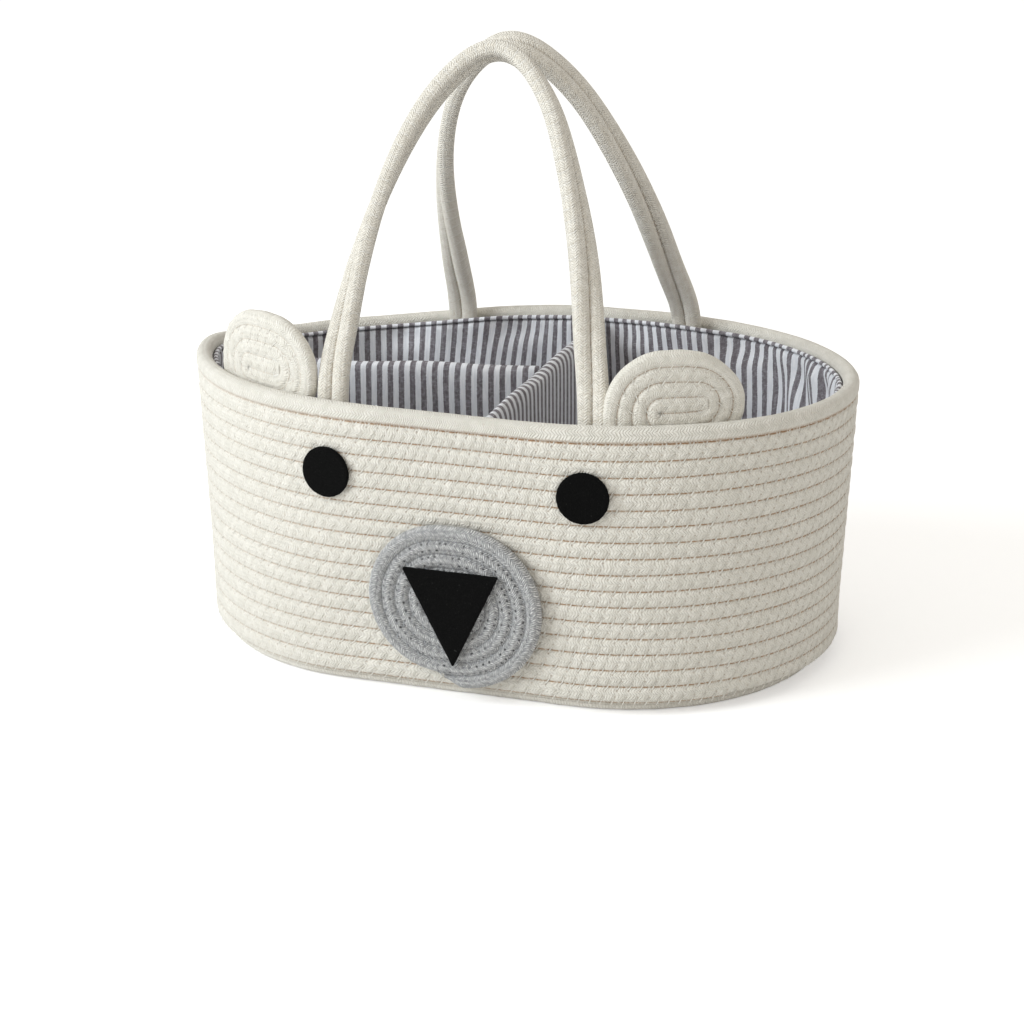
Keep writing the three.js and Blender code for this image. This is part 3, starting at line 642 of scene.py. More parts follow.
# The place on the front or the back at which the rim has a given x
def placeAtX(x, back, z):
    straight, endLength, _ = ovalAt(z)
    side = np.clip(x / straight, -1, 1)
    cosine = np.clip((x - side * straight) / endLength, -1, 1)
    return side, (1 if back else -1) * np.arccos(cosine)


stitch = {
    "length": 7.2, "low": -2.0, "high": 3.6, "radius": 0.2, "valleySize": 1.15, "valley": 0.62,
    "loose": 0.5, "divide": 0.8, "past": 0.9, "bowFrom": 0.08, "bowOver": 0.64, "fullness": 0.7,
}
# The shares of its way between two needle holes at which a thread shows
threadShares = np.linspace(0.1, 0.7, 6)
stitchesPerLap = math.floor(lap / stitch["length"]) + 0.73


# Depth, 0 to 1, of the valley that the zigzag thread pulls into the rope: exp(-(d / size)^2),
# with d the distance from the thread, in the groove above or below the rope's middle
def stitchValley(upper, lower, rise, pitch, low, high):
    half = stitch["length"] / 2
    above = rise > stitch["divide"]
    phase = np.where(above, upper, lower)
    height = rise + pitch / 2 - pitch * above
    share = phase - np.floor(phase)
    line = low + (high - low) * (1 - np.abs(2 * share - 1))
    away = np.abs(height - line) * half / math.hypot(half, high - low)
    tight = np.where(share < 0.5, stitch["loose"], 1.0)
    past = np.clip(np.maximum(height - high, low - height), 0, None)
    past = past / stitch["past"]
    return tight * np.exp(-((away / stitch["valleySize"]) ** 2) - past**2)


# Wall rope
# One rope climbs the wall. Its height is first + pitch (lap - 1 + smooth(2 share)), so that it
# climbs along the back and is level in front.
def ropeHeight(turn):
    whole = np.floor(turn)
    return basket["firstCourse"] + basket["pitch"] * (whole - 1 + smooth(2 * (turn - whole)))


wallRope = {
    "halfAcross": 4.6, "halfHigh": 4.82, "squareness": 4.2, "groove": 0.85,
    "front": [-1, -0.965, -0.9, -0.8, -0.66, -0.5, -0.33, -0.15]
    + [0.02, 0.2, 0.38, 0.55, 0.7, 0.82, 0.91, 0.965, 1],
    "back": [0.75, 0, -0.75],
    "first": 0.21, "past": 0.45, "ringsPerStitch": 6, "parts": 4, "sewnLeft": 0.3,
    "faintLeft": 0.2, "tuck": 0.6, "tuckLaps": 0.55, "tuckFrom": 0.8, "tuckOver": 0.2,
    "footLaps": 0.6, "overBase": 0.1, "topLaps": 0.01, "underRim": 4.0, "seamDepth": 0.42,
    "seamSoft": 0.3, "swell": 0.14, "swellEvery": 5, "seed": 7,
}


# Half a squarish section, |x|^n + |z|^n = 1, that ends at a shallow groove with its neighbour
def squareProfile(share, squareness, groove):
    full = (1 - np.abs(np.clip(share, -1, 1)) ** squareness) ** (1 / squareness)
    return np.maximum(full, 1 - groove)


def lengthShares(across, high):
    loop = np.stack([np.append(across, across[0]), np.append(high, high[0])], -1)
    length = lengthsAlong(loop)
    return length / length[-1]


# Slow random swelling along a rope, one value to every few rings
def swelling(count, every, seed):
    random = np.random.default_rng(seed)
    sparse = random.normal(0, 1, count // every + 3)
    return np.interp(np.arange(count) / every, np.arange(len(sparse)), sparse)


# 0 at the left end, 1 from near the middle on. On the left the sewing dents are shallower, and the
# painted shade in grooves, valleys and needle holes and the thread marks are paler: painted light
# where the lamp falls full on that end
def awayFromLeft(x):
    return smooth((x - basket["looseFrom"]) / basket["looseOver"])


# How far out of its groove a thread lies at a share t of its way, the sine of pi t to a power
def threadBow(t):
    share = np.clip((t - stitch["bowFrom"]) / stitch["bowOver"], 0, 1)
    return np.sin(np.pi * share) ** stitch["fullness"]


def makeWallRope(settings):
    high = np.array(settings["front"] + settings["back"], float)
    groove = settings["groove"] / settings["halfAcross"]
    across = squareProfile(high, settings["squareness"], groove)
    across[len(settings["front"]) :] *= -1
    first, last = settings["first"], basket["courses"] + settings["past"]
    count = int((last - first) * stitchesPerLap * settings["ringsPerStitch"])
    turns = np.linspace(first, last, count)
    side, angle = placeAt(turns)
    centre = ropeHeight(turns)
    upper, lower = turns * stitchesPerLap, (turns - 1) * stitchesPerLap
    rise = settings["halfHigh"] * high[None] + np.zeros((count, 1))
    zigzag = stitch["low"], stitch["high"]
    valley = stitchValley(upper[:, None], lower[:, None], rise, basket["pitch"], *zigzag)
    lumps = settings["swell"] * swelling(count, settings["swellEvery"], settings["seed"])
    lumps = lumps[:, None] * (1 - np.abs(high[None]) ** 4)
    sewnShare = lerp(settings["sewnLeft"], 1, awayFromLeft(wallPoint(side, angle, centre, 0)[:, :1]))
    out = settings["halfAcross"] * across + across * sewnShare * (lumps - stitch["valley"] * valley)
    # the last lap reaches up under the rim
    upward = smooth((high[None] - settings["tuckFrom"]) / settings["tuckOver"])
    lastLap = turns > basket["courses"] - settings["tuckLaps"]
    tucked = np.where(lastLap, settings["tuck"], 0)[:, None] * upward
    # the first lap stays above the base, and the end of the last one under the rim's middle
    over = basket["ropeSize"] + settings["overBase"]
    under = basket["rimCentre"] - settings["underRim"]
    low = np.where(turns < settings["footLaps"], over, -np.inf)[:, None]
    top = np.where(turns > basket["courses"] - settings["topLaps"], under, np.inf)[:, None]
    z = np.clip(centre[:, None] + rise + tucked, low, top)
    rings = wallPoint(side[:, None], angle[:, None], z, settings["halfAcross"] - out)
    depth = settings["halfHigh"] * (1 - np.abs(high[None])) - tucked
    # Painted shade at the bottom of each groove, fainter towards the left end, where the lamp falls
    # full on the wall
    seam = 1 - smooth((depth - settings["seamDepth"]) / settings["seamSoft"] + 0.5)
    seam = seam * lerp(settings["faintLeft"], 1, awayFromLeft(rings[..., 0]))
    marks = {"seam": seam, "rise": rise, "sewn": sewnShare + 0 * rise}
    along, stitches = turns * lap, np.stack([upper, lower], -1)
    cuts = np.linspace(0, count - 1, settings["parts"] + 1).astype(int)
    for number, (a, b) in enumerate(zip(cuts[:-1], cuts[1:])):
        part = slice(a, b + 1)
        piece = tubePiece(
            f"wall_rope_{number + 1}",
            rings[part],
            creamRope,
            along[part] - along[a],
            lengthShares(across, high),
            {k: v[part] for k, v in marks.items()},
            stitches[part],
        )
        enlist(piece, "cream_rope", "basket", "wall_coil")


makeWallRope(wallRope)


# Sewing thread where it crosses the grooves, from the needle hole below to the one above
def makeWallThreads(settings):
    random = np.random.default_rng(settings["seed"])
    first, last = settings["first"], basket["courses"] - settings["short"]
    numbers = np.arange(math.ceil(first * stitchesPerLap), math.floor(last * stitchesPerLap))
    numbers = numbers[:, None] + random.normal(0, settings["uneven"], (len(numbers), 1))
    t = threadShares[None] + random.normal(0, settings["uneven"], (len(numbers), 1))
    turn = (numbers - t / 2) / stitchesPerLap
    side, angle = placeAt(turn)
    z = ropeHeight(turn) + basket["pitch"] / 2 + lerp(stitch["low"], stitch["high"], t)
    inset = lerp(settings["deep"], settings["proud"], threadBow(t))
    centres = wallPoint(side, angle, z, inset)
    outward = wallPoint(side, angle, z, inset - 1)[:, 3] - centres[:, 3]
    piece = threadPiece("wall_thread_slash", centres, outward, stitch["radius"], whiteThread)
    enlist(piece, "cream_rope", "basket")


makeWallThreads(
    {"proud": 0.45, "deep": 1.0, "first": -0.45, "short": 0.66, "uneven": 0.02, "seed": 3}
)
print("wall rope made")


# Rim rope
def makeRimRope(settings):
    degrees = np.arange(-180, 180, 360 / settings["sides"]) + 180 / settings["sides"]
    fuller = settings["lowerOuter"] * ((degrees > -90) & (degrees < 0))
    across, high = ropeSection(degrees, settings["squareness"] + fuller)
    gap = settings["gap"] / lap
    shares = settings["joint"] + np.linspace(gap, 1 - gap, settings["rings"])
    side, angle = placeAt(shares)
    swell = swelling(settings["rings"], settings["swellEvery"], settings["seed"])[:, None]
    swell = 1 + settings["swell"] * swell
    pull = (0.5 + 0.5 * np.cos(2 * np.pi * shares * stitchesPerLap))[:, None]
    below = smooth((-high[None] - settings["dentFrom"]) / settings["dentOver"])
    pull = settings["dent"] * pull * below
    inset = wallRope["halfAcross"] - across * (settings["half"] * swell - pull)
    z = basket["rimCentre"] + settings["half"] * high * swell
    rings = wallPoint(side[:, None], angle[:, None], z, inset)
    # Painted shade in the crease under the rim, fainter towards the left end, where the lamp falls
    # full on it
    faint = lerp(settings["faintLeft"], 1, awayFromLeft(rings[..., 0]))
    marks = {"seam": smooth((-high[None] - settings["seamFrom"]) / settings["seamOver"]) * faint}
    turned = roundShares(degrees)
    piece = tubePiece("rim_rope_braid", rings, plainRope, shares * lap, turned, marks)
    enlist(piece, "cream_rope", "basket", "rim_rope")


makeRimRope(
    {
        "sides": 20, "squareness": 2.15, "lowerOuter": 3.2, "joint": 0.25, "gap": 0.3, "rings": 900,
        "half": 4.8, "dent": 0.35, "dentFrom": 0.5, "dentOver": 0.3, "swell": 0.012,
        "swellEvery": 9, "seed": 11, "seamFrom": 0.8, "seamOver": 0.12, "faintLeft": 0.5,
    }
)
print("rim rope made")


# Flat coils: base, ears and snout
# A rope wound flat: half turns of radius k pitch / 2 about two centres a core apart, joined by
# straight pieces. Gives each point and the direction out of the coil.
def coilPath(pitch, core, halfTurns, head, tail, step):
    points, normals = [], []

    def straight(start, end, normal):
        count = max(1, int(round(abs(end[0] - start[0]) / step)))
        for i in range(count):
            points.append([lerp(start[0], end[0], i / count), start[1]])
            normals.append(normal)

    here = (core / 2 + head, 0.0)
    for turn in range(1, halfTurns + 1):
        left = turn % 2 == 1
        radius = turn * pitch / 2
        centre = (-core / 2, -pitch / 2) if left else (core / 2, 0.0)
        begin = math.pi / 2 if left else -math.pi / 2
        arrive = (centre[0], centre[1] + radius * math.sin(begin))
        straight(here, arrive, (0.0, math.sin(begin)))
        count = max(8, int(round(math.pi * radius / step)))
        for i in range(count):
            angle = begin + math.pi * i / count
            out = math.cos(angle), math.sin(angle)
            points.append([c + radius * way for c, way in zip(centre, out)])
            normals.append(out)
        here = (centre[0], centre[1] - radius * math.sin(begin))
    normal = (0.0, -1.0 if halfTurns % 2 == 1 else 1.0)
    sign = 1 if halfTurns % 2 == 1 else -1
    straight(here, (here[0] + sign * tail, here[1]), normal)
    points.append([here[0] + sign * tail, here[1]])
    normals.append(normal)
    return np.array(points), np.array(normals, float)


# For each point of a coil: is there a turn outside and inside it, and the stitch phase of the
# inner turn beside it, so that the sewing runs on across the groove
def coilNeighbours(path, normals, along, pitch):
    tangent = unit(np.gradient(path, axis=0))
    found = []
    for way in (1, -1):
        target = path + way * pitch * normals
        squares = np.sum(target**2, -1)[:, None] + np.sum(path**2, -1)[None] - 2 * target @ path.T
        gaps = np.sqrt(np.maximum(squares, 0))
        gaps[np.abs(along[:, None] - along[None]) < pitch] = 1e3
        best = np.argmin(gaps, 1)
        rows = np.arange(len(path))
        beside = along[best] + np.sum((target - path[best]) * tangent[best], -1)
        has = smooth((0.55 * pitch - gaps[rows, best]) / (0.2 * pitch))
        found.append((has, beside, best < rows))
    (outer, _, _), (inner, beside, earlier) = found
    return outer, inner, np.where((inner > 0.5) & earlier, beside, along) / stitch["length"]


# Rings of a flat coil mapped by place(u, v, up), with valleys at its stitches and threads in the
# grooves on the side that shows
def makeCoil(name, node, path, normals, place, settings, ropeFinish, threadFinish, slotName):
    pitch, halfDeep = settings["pitch"], settings["halfDeep"]
    across = np.array(settings["front"] + settings["back"], float)
    face = np.array([1] * len(settings["front"]) + [-1] * len(settings["back"]))
    along = lengthsAlong(path)
    outer, inner, lower = coilNeighbours(path, normals, along, pitch)
    beside = np.where(across[None] > 0, outer[:, None], inner[:, None])
    flat = squareProfile(across, settings["squareness"], settings["groove"] / halfDeep)
    bent = np.maximum(squareProfile(across, settings["roundness"], 1), 0.02)
    high = face * lerp(bent[None], flat[None], beside)
    upper = along / stitch["length"]
    low, top = settings["zigzag"]
    rise = settings["half"] * across[None] + np.zeros((len(path), 1))
    sewnInside = inner * lerp(settings["lastSewn"], 1, outer)
    sewn = np.where(rise > 0, outer[:, None], sewnInside[:, None])
    valley = stitchValley(upper[:, None], lower[:, None], rise, pitch, low, top) * sewn
    valley = settings["dent"] * valley
    lumps = swelling(len(path), settings["swellEvery"], len(name))[:, None] * settings["swell"]
    out = rise - settings["pinch"] * valley * across[None]
    up = halfDeep * high + high * (lumps - valley)
    if settings["taper"]:
        thin = smooth((along[-1] - along) / settings["taper"] + settings["tipShare"])[:, None]
        out = out * lerp(settings["tipWidth"], 1, thin) - settings["tipIn"] * pitch * (1 - thin)
        up = up * lerp(settings["tipDepth"], 1, thin)
    spot = path[:, None] + normals[:, None] * out[..., None]
    rings = place(spot[..., 0], spot[..., 1], up)
    # Painted shade in the grooves between turns
    seam = smooth((np.abs(across[None]) - settings["seamFrom"]) / settings["seamOver"]) * beside
    marks = {"seam": seam * settings["seamFaint"], "rise": rise, "sewn": sewn}
    shares = lengthShares(across, face * flat)
    stitches = np.stack([upper, lower], -1)
    piece = tubePiece(name, rings, ropeFinish, along, shares, marks, stitches)
    enlist(piece, slotName, "basket", node)

    numbers = np.arange(1, math.floor(along[-1] / stitch["length"]))
    t = threadShares[None]
    at = (numbers[:, None] - t / 2) * stitch["length"]
    shown = np.interp(at[:, 3], along, outer) * np.interp(at[:, 3], along, inner) > 0.5
    at = at[shown & (at[:, 3] > settings["threadsFrom"])]
    u, v = (np.interp(at, along, path[:, i]) for i in (0, 1))
    nu, nv = (np.interp(at, along, normals[:, i]) for i in (0, 1))
    reach = pitch / 2 + lerp(low, top, t)
    height = halfDeep - lerp(settings["deep"], settings["proud"], threadBow(t))
    centres = place(u + nu * reach, v + nv * reach, height)
    outward = place(u + nu * reach, v + nv * reach, height + 1)[:, 3] - centres[:, 3]
    radius = settings["threadRadius"]
    threads = threadPiece(f"{name}_thread_front", centres, outward, radius, threadFinish)
    enlist(threads, slotName, "basket")


coilCommon = {
    "front": [-1, -0.96, -0.88, -0.76, -0.6, -0.42, -0.22, 0, 0.22, 0.42, 0.6, 0.76, 0.88, 0.96, 1],
    "back": [1, 0.85, 0.5, 0, -0.5, -0.85, -1],
    "squareness": 3.6, "roundness": 2.2, "groove": 0.8, "dent": 0.6, "swell": 0.12,
    "zigzag": (-2.0, 3.6), "taper": 0, "lastSewn": 0.3, "seamFrom": 0.93, "seamFaint": 1.0,
    "seamOver": 0.06, "deep": 1.1, "proud": 0.5, "threadRadius": 0.22, "swellEvery": 3,
    "pinch": 0.3, "tipShare": 0.12, "tipWidth": 0.3, "tipIn": 0.25, "tipDepth": 0.35,
}


def makeBase(settings):
    path, normals = coilPath(settings["pitch"], settings["core"], 24, 0, 4, 2.0)

    def place(u, v, up):
        return stackPoints(u - settings["pitch"] / 4, v, settings["centre"] - up)

    look = creamRope, whiteThread, "cream_rope"
    makeCoil("base_rope", "base_coil", path, normals, place, settings, *look)


makeBase(
    {
        **coilCommon,
        "pitch": 9.6146, "core": 138, "centre": 4.525, "half": 4.85, "halfDeep": 4.5,
        "threadsFrom": 0,
    }
)

ears = {
    **coilCommon,
    "pitch": 8.75, "core": 20 / 0.88, "halfTurns": 7, "fallLength": 36, "inset": 13.5, "half": 4.43,
    "halfDeep": 4.2, "dent": 0.42, "groove": 0.95, "lastSewn": 0.1, "arch": 0.5, "skirt": 0.07,
    "threadsFrom": 40,
}


# Lengths along the front from its middle at the rim, positive towards +X
def frontRuler(inset):
    share = np.linspace(0.5, 1, 2000)
    side, angle = placeAt(np.clip(share, 0, 0.999999))
    points = wallPoint(side, angle, basket["rimTop"] + 0 * side, inset)[:, :2]
    length = lengthsAlong(points)
    middle = np.interp(0, -points[:, 0], length)
    return middle - length, share


def makeEar(name, node, settings):
    core = ears["core"]
    path, normals = coilPath(ears["pitch"], core, ears["halfTurns"], 5.6, core / 2, 1.0)
    marks, shares = frontRuler(ears["inset"])

    def place(u, v, up):
        along = u * settings["narrow"] * (1 + ears["skirt"] * smooth(-v / 22))
        fall = np.where(along < 0, settings["fallLeft"], settings["fallRight"])
        arch = ears["arch"] * (np.clip(1 - (along / 22) ** 2, -0.6, 1) - 0.2)
        arch = arch * np.clip(v / 26, -1, 1)
        fall = fall * np.minimum(np.abs(along) / ears["fallLength"], 1.2) ** 1.3
        z = basket["rimTop"] + settings["coreOverRim"] + v * (1 - fall) + arch
        share = np.interp(-(settings["middle"] + along), -marks, shares)
        side, angle = placeAt(share)
        p = wallPoint(side, angle, np.minimum(z, basket["rimTop"]), ears["inset"] - up)
        p[..., 2] = z
        return p

    look = earRope, whiteThread, "cream_rope"
    makeCoil(name, node, path, normals, place, {**ears, **settings}, *look)


makeEar(
    "left_ear_rope",
    "ear_left",
    {
        "narrow": 0.95, "middle": -128.9, "coreOverRim": 11.2, "fallLeft": 0.17, "fallRight": 0.07,
        "seamFaint": 0.4, "dent": 0.2, "groove": 0.6,
    },
)
makeEar(
    "right_ear_rope",
    "ear_right",
    {
        "narrow": 0.905, "middle": 125.7, "coreOverRim": 10.1, "fallLeft": 0.02, "fallRight": 0.25,
        "seamFaint": 0.9,
    },
)

snout = {
    **coilCommon,
    "pitch": 8.4, "core": 9.3, "halfTurns": 11, "x": 0.4, "y": -129.7, "z": 62.0,
    "shrink": (0.98, 0.968), "taper": 15, "half": 4.27, "halfDeep": 4.1, "squareness": 2.9,
    "groove": 1.2, "dent": 0.35, "swell": 0.2, "zigzag": (-1.4, 2.6), "lastSewn": 0.35,
    "threadsFrom": 25, "threadRadius": 0.18,
}


def makeSnout():
    core = snout["core"]
    path, normals = coilPath(snout["pitch"], core, snout["halfTurns"], 2, core, 1.0)

    def place(u, v, up):
        across, high = snout["shrink"]
        return stackPoints(snout["x"] - across * u, snout["y"] - up, snout["z"] + high * v)

    look = greyRope, greyThread, "grey_rope"
    makeCoil("snout_rope", "snout_coil", path, normals, place, snout, *look)


makeSnout()
print("coils made")


# Felt eyes and nose
# A felt shape cut from a sheet: rings from the middle of the back round a soft edge to the front
def makeFelt(name, node, outline, centre, axes, thickness, soft):
    across, up, out = axes
    middle = outline.mean(0)
    profile = [(0.0, 0.0), (0.5, 0.0), (0.97, 0.0), (1.0, soft), (1.0, thickness - soft)]
    profile += [(1 - soft * 0.3 / 14, thickness - soft * 0.3), (1 - soft / 14, thickness)]
    inner = (0.85, 0.65, 0.45, 0.25, 0.1, 0.02)
    crown = [(share, thickness + 0.12 * (1 - share**4)) for share in inner]
    ragged = np.random.default_rng(len(name)).normal(0, 0.06, len(outline))
    rows = []
    for share, depth in profile + crown:
        flat = middle + (outline - middle) * share
        flat = flat + unit(outline - middle) * ragged[:, None] * smooth(share * 4 - 3)
        rows.append(centre + flat[:, :1] * across + flat[:, 1:] * up + depth * out)
    enlist(tubePiece(name, np.stack(rows), blackFelt), "black_felt", "basket", node)


def makeEyes(settings):
    turn = np.linspace(0, 2 * np.pi, 97)[:-1]
    outline = settings["radius"] * np.stack([np.cos(turn), np.sin(turn)], -1)
    for name, node, way in (("left_eye_felt", "eye_left", -1), ("right_eye_felt", "eye_right", 1)):
        z, gap = settings["z"], settings["gap"]
        side, angle = placeAtX(way * settings["x"], False, z)
        at = wallPoint(side, angle, z, -gap)
        ahead = wallPoint(side, angle, z, -gap - 1) - at
        up = unit(wallPoint(side, angle, z + 1, -gap) - at)
        across = unit(np.cross(up, ahead))
        out = np.cross(across, up)
        makeFelt(name, node, outline, at, (across, up, out), settings["thickness"], 0.7)


makeEyes({"radius": 15, "x": 76.6, "z": 129.8, "gap": 0.3, "thickness": 2.2})


# Nose: a triangle with small round corners
def makeNose(settings):
    half = settings["width"] / 2
    corners = np.array([[-half, 0.0], [half, 0.0], [settings["tipShift"], -settings["height"]]])
    outline = []
    for i in range(3):
        before, corner, after = corners[i - 1], corners[i], corners[(i + 1) % 3]
        first = corner + unit(before - corner) * settings["corner"]
        second = corner + unit(after - corner) * settings["corner"]
        nextFirst = after + unit(corner - after) * settings["corner"]
        for t in np.linspace(0, 1, 6)[:-1]:
            outline.append((1 - t) ** 2 * first + 2 * t * (1 - t) * corner + t**2 * second)
        for t in np.linspace(0, 1, 26)[:-1]:
            outline.append(lerp(second, nextFirst, t))
    axes = (np.array([1.0, 0, 0]), np.array([0, 0, 1.0]), np.array([0, -1.0, 0]))
    centre = np.array([settings["x"], settings["y"], settings["top"]])
    cut = np.array(outline)
    makeFelt("nose_felt_cut", "nose_felt", cut, centre, axes, settings["thickness"], 0.6)


makeNose(
    {
        "width": 57.5, "height": 57.6, "thickness": 3, "x": 1.8, "y": -134.1, "top": 81.4,
        "tipShift": 1.2, "corner": 1.2,
    }
)
print("felt made")


# Handles
handle = {
    "spread": 150.8, "rise": 207, "sway": 9.3, "strandPitch": 8.6, "radius": 4.75,
    "squareness": 2.7, "legY": 107.088, "hingeHeight": 174.8675, "lean": math.radians(28.2),
    "bend": 22, "ease": 60, "foot": 72, "sides": 16, "step": 1.2, "zigzag": (-0.9, 4.2),
    "bridge": 2.9, "threadRadius": 0.17,
    "shares": [
        (1, 0, 0), (0.985, 0.08, 0.22), (0.95, 0.155, 0.34), (0.913, 0.28, 0.53),
        (0.858, 0.41, 0.7), (0.77, 0.555, 0.88), (0.646, 0.7, 1), (0.565, 0.773, 1),
        (0.475, 0.84, 1), (0.335, 0.91, 1), (0.14, 0.98, 1), (0, 1, 1),
    ],
}


# A centripetal Catmull-Rom curve through points, 40 samples to a span
def curveThrough(points):
    points = np.concatenate([[2 * points[0] - points[1]], points, [2 * points[-1] - points[-2]]])
    spans = []
    for i in range(len(points) - 3):
        p0, p1, p2, p3 = points[i : i + 4]
        d0, d1, d2 = (np.linalg.norm(b - a) ** 0.5 for a, b in ((p0, p1), (p1, p2), (p2, p3)))
        m1 = ((p1 - p0) / d0 - (p2 - p0) / (d0 + d1) + (p2 - p1) / d1) * d1
        m2 = ((p2 - p1) / d1 - (p3 - p1) / (d1 + d2) + (p3 - p2) / d2) * d1
        t = np.linspace(0, 1, 41)[:-1, None]
        square, cube = 3 * (p2 - p1) - 2 * m1 - m2, 2 * (p1 - p2) + m1 + m2
        spans.append(p1 + m1 * t + square * t**2 + cube * t**3)
    return np.concatenate([*spans, [points[-2]]])


# A strap's centre line in its own plane: x across, s up from the hinge, feet below it
def strapPath():
    half = handle["spread"] / 2
    legs = [
        [(way * a * half - w * handle["sway"], s * handle["rise"]) for a, s, w in handle["shares"]]
        for way in (-1, 1)
    ]
    arch = curveThrough(np.array(legs[0] + legs[1][:-1][::-1], float))
    feet = np.linspace(-handle["foot"], 0, 30)[:-1]
    left = np.stack([np.full(29, arch[0, 0]), feet], -1)
    right = np.stack([np.full(29, arch[-1, 0]), feet[::-1]], -1)
    path = np.concatenate([left, arch, right])
    length = lengthsAlong(path)
    even = np.arange(0, length[-1], handle["step"])
    path = np.stack([np.interp(even, length, path[:, i]) for i in (0, 1)], -1)
    reach = int(handle["ease"] / handle["step"] / 2)
    window = np.hanning(2 * reach + 3)[1:-1]
    before, after = path[reach:0:-1], path[-2 : -reach - 2 : -1]
    padded = np.concatenate([2 * path[:1] - before, path, 2 * path[-1:] - after])
    eased = [np.convolve(padded[:, i], window / window.sum(), "valid") for i in (0, 1)]
    return np.stack(eased, -1), even


# From the strap's plane into space. Its slope turns from upright to the lean about the hinge.
def strapToSpace(x, flat, s, way):
    table = np.linspace(-90, 260, 3501)
    slope = handle["lean"] * smooth((table + handle["bend"]) / (2 * handle["bend"]))
    step = table[1] - table[0]
    inward = np.cumsum(np.sin(slope)) * step
    upward = np.cumsum(np.cos(slope)) * step
    upward = upward - np.interp(-90, table, upward) - 90
    here = np.interp(s, table, slope)
    y = way * (-handle["legY"] + np.interp(s, table, inward)) - flat * np.cos(here)
    z = handle["hingeHeight"] + np.interp(s, table, upward) + way * flat * np.sin(here)
    return stackPoints(x, y, z)


def makeHandle(name, way, splay):
    path, along = strapPath()
    radius, halfPitch = handle["radius"], handle["strandPitch"] / 2
    climb = np.clip(path[:, 1] / handle["rise"], 0, 1)
    legs = np.where(path[:, 0] < 0, -splay[0], splay[1])
    path[:, 0] += legs * (1 - smooth(1.25 * climb))
    tangent = unit(np.gradient(path, axis=0))
    twist = np.pi / 2 * np.sin(np.pi / 2 * climb)
    centres = {}
    for sign in (1, -1):
        off = sign * halfPitch
        x = path[:, 0] + off * np.cos(twist) * tangent[:, 1]
        s = path[:, 1] - off * np.cos(twist) * tangent[:, 0]
        centres[sign] = strapToSpace(x, off * np.sin(twist), s, way)
    degrees = np.arange(0, 360, 360 / handle["sides"]) - 180.0
    c, s = ropeSection(degrees, handle["squareness"])
    for sign, strand in ((1, "inner"), (-1, "outer")):
        centre, other = centres[sign], centres[-sign]
        ahead = unit(np.gradient(centre, axis=0))
        toward = other - centre
        toward = unit(toward - ahead * np.sum(toward * ahead, -1, keepdims=True))
        beside = np.cross(ahead, toward)
        turned = c[:, None] * toward[:, None] + s[:, None] * beside[:, None]
        rings = centre[:, None] + radius * turned
        rise = np.broadcast_to(sign * radius * c, rings.shape[:2])
        # Painted shade in the groove between the two strands
        seam = np.broadcast_to(smooth((c - 0.95) / 0.04), rings.shape[:2])
        marks = {"seam": seam, "rise": rise, "sewn": np.ones_like(rise)}
        phase = np.stack([along, along], -1) / stitch["length"]
        title = f"{name}_{strand}_braid"
        piece = tubePiece(title, rings, handleCotton, along, roundShares(degrees), marks, phase)
        feet = [f"{name.split('_')[0]}_{side}_foot_{strand}_rope" for side in ("left", "right")]
        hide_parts(f"{name}_{strand}_rope", *feet)
        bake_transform(piece)
    middle = (centres[1] + centres[-1]) / 2
    toward = unit(centres[-1] - centres[1])
    beside = np.cross(unit(np.gradient(middle, axis=0)), toward)
    numbers = np.arange(2, math.floor(along[-1] / stitch["length"]) - 2)
    t = np.concatenate([np.linspace(0.02, 0.97, 7), np.linspace(1.03, 1.98, 7)]).reshape(2, 1, 7)
    at = ((numbers[:, None] - t / 2) * stitch["length"]).reshape(-1, 7)
    reach = lerp(*handle["zigzag"], 1 - np.abs(1 - t))
    reach = np.broadcast_to(reach, (2, len(numbers), 7)).reshape(-1, 7)
    height = np.sqrt(np.maximum(0, radius**2 - (halfPitch - np.abs(reach)) ** 2))
    height = np.maximum(height, handle["bridge"]) + handle["threadRadius"] * 0.2

    def pick(values):
        return np.stack([np.interp(at, along, values[:, i]) for i in range(3)], -1)

    on = pick(middle) + pick(toward) * reach[..., None]
    strokes = np.concatenate([on + face * pick(beside) * height[..., None] for face in (1, -1)])
    outwards = np.concatenate([face * pick(beside)[:, 3] for face in (1, -1)])
    threads = threadPiece(f"{name}_thread", strokes, outwards, handle["threadRadius"], whiteThread)
    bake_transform(threads)


makeHandle("front_handle", 1, (2.8, 2.5))
makeHandle("back_handle", -1, (-0.3, -1.2))
print("handles made")


# Lining
lining = {
    "ropeInner": 9.1, "gap": 0.5, "pocketFoot": 58, "pocketRise": 42, "legDepth": 12.4,
    "legFrom": 4, "legOver": 58, "legTo": 83, "legPast": 70, "lipFrom": 30, "lipTo": 86,
    "lipOver": 34, "lipLift": 3.4, "earDepth": 9.4, "earFrom": 70, "earTo": 160, "earPast": 26,
    "lower": 4.5, "lowered": (52, 14, 172, 16), "foot": 10.9, "wallTop": 146, "off": 0.6,
    "columns": 640, "pucker": 0.5, "puckerPitch": 8.1, "puckerAt": 159, "puckerOver": 7,
    "puckerLift": 0.25, "wander": 0.8, "wanderKnots": 64, "seed": 21, "belly": 0.9, "slack": 1.6,
    "gatherFrom": 120, "gatherOver": 50, "draw": 1.2, "seamAt": 162.3, "seamSoft": 0.2,
}
# The lip's profile from its tucked edge down to the wall: height and distance off the rope
lipRows = [
    (163.9, 0.2), (164.9, 0.7), (165.4, 1.7), (165.0, 2.8), (164.1, 3.2), (163.2, 2.8),
    (162.6, 1.6), (162.3, 0.6), (161.9, 0.7), (161.3, 1.4), (160.3, 1.9), (158.0, 1.8),
    (154.0, 1.4), (150.0, 0.9),
]


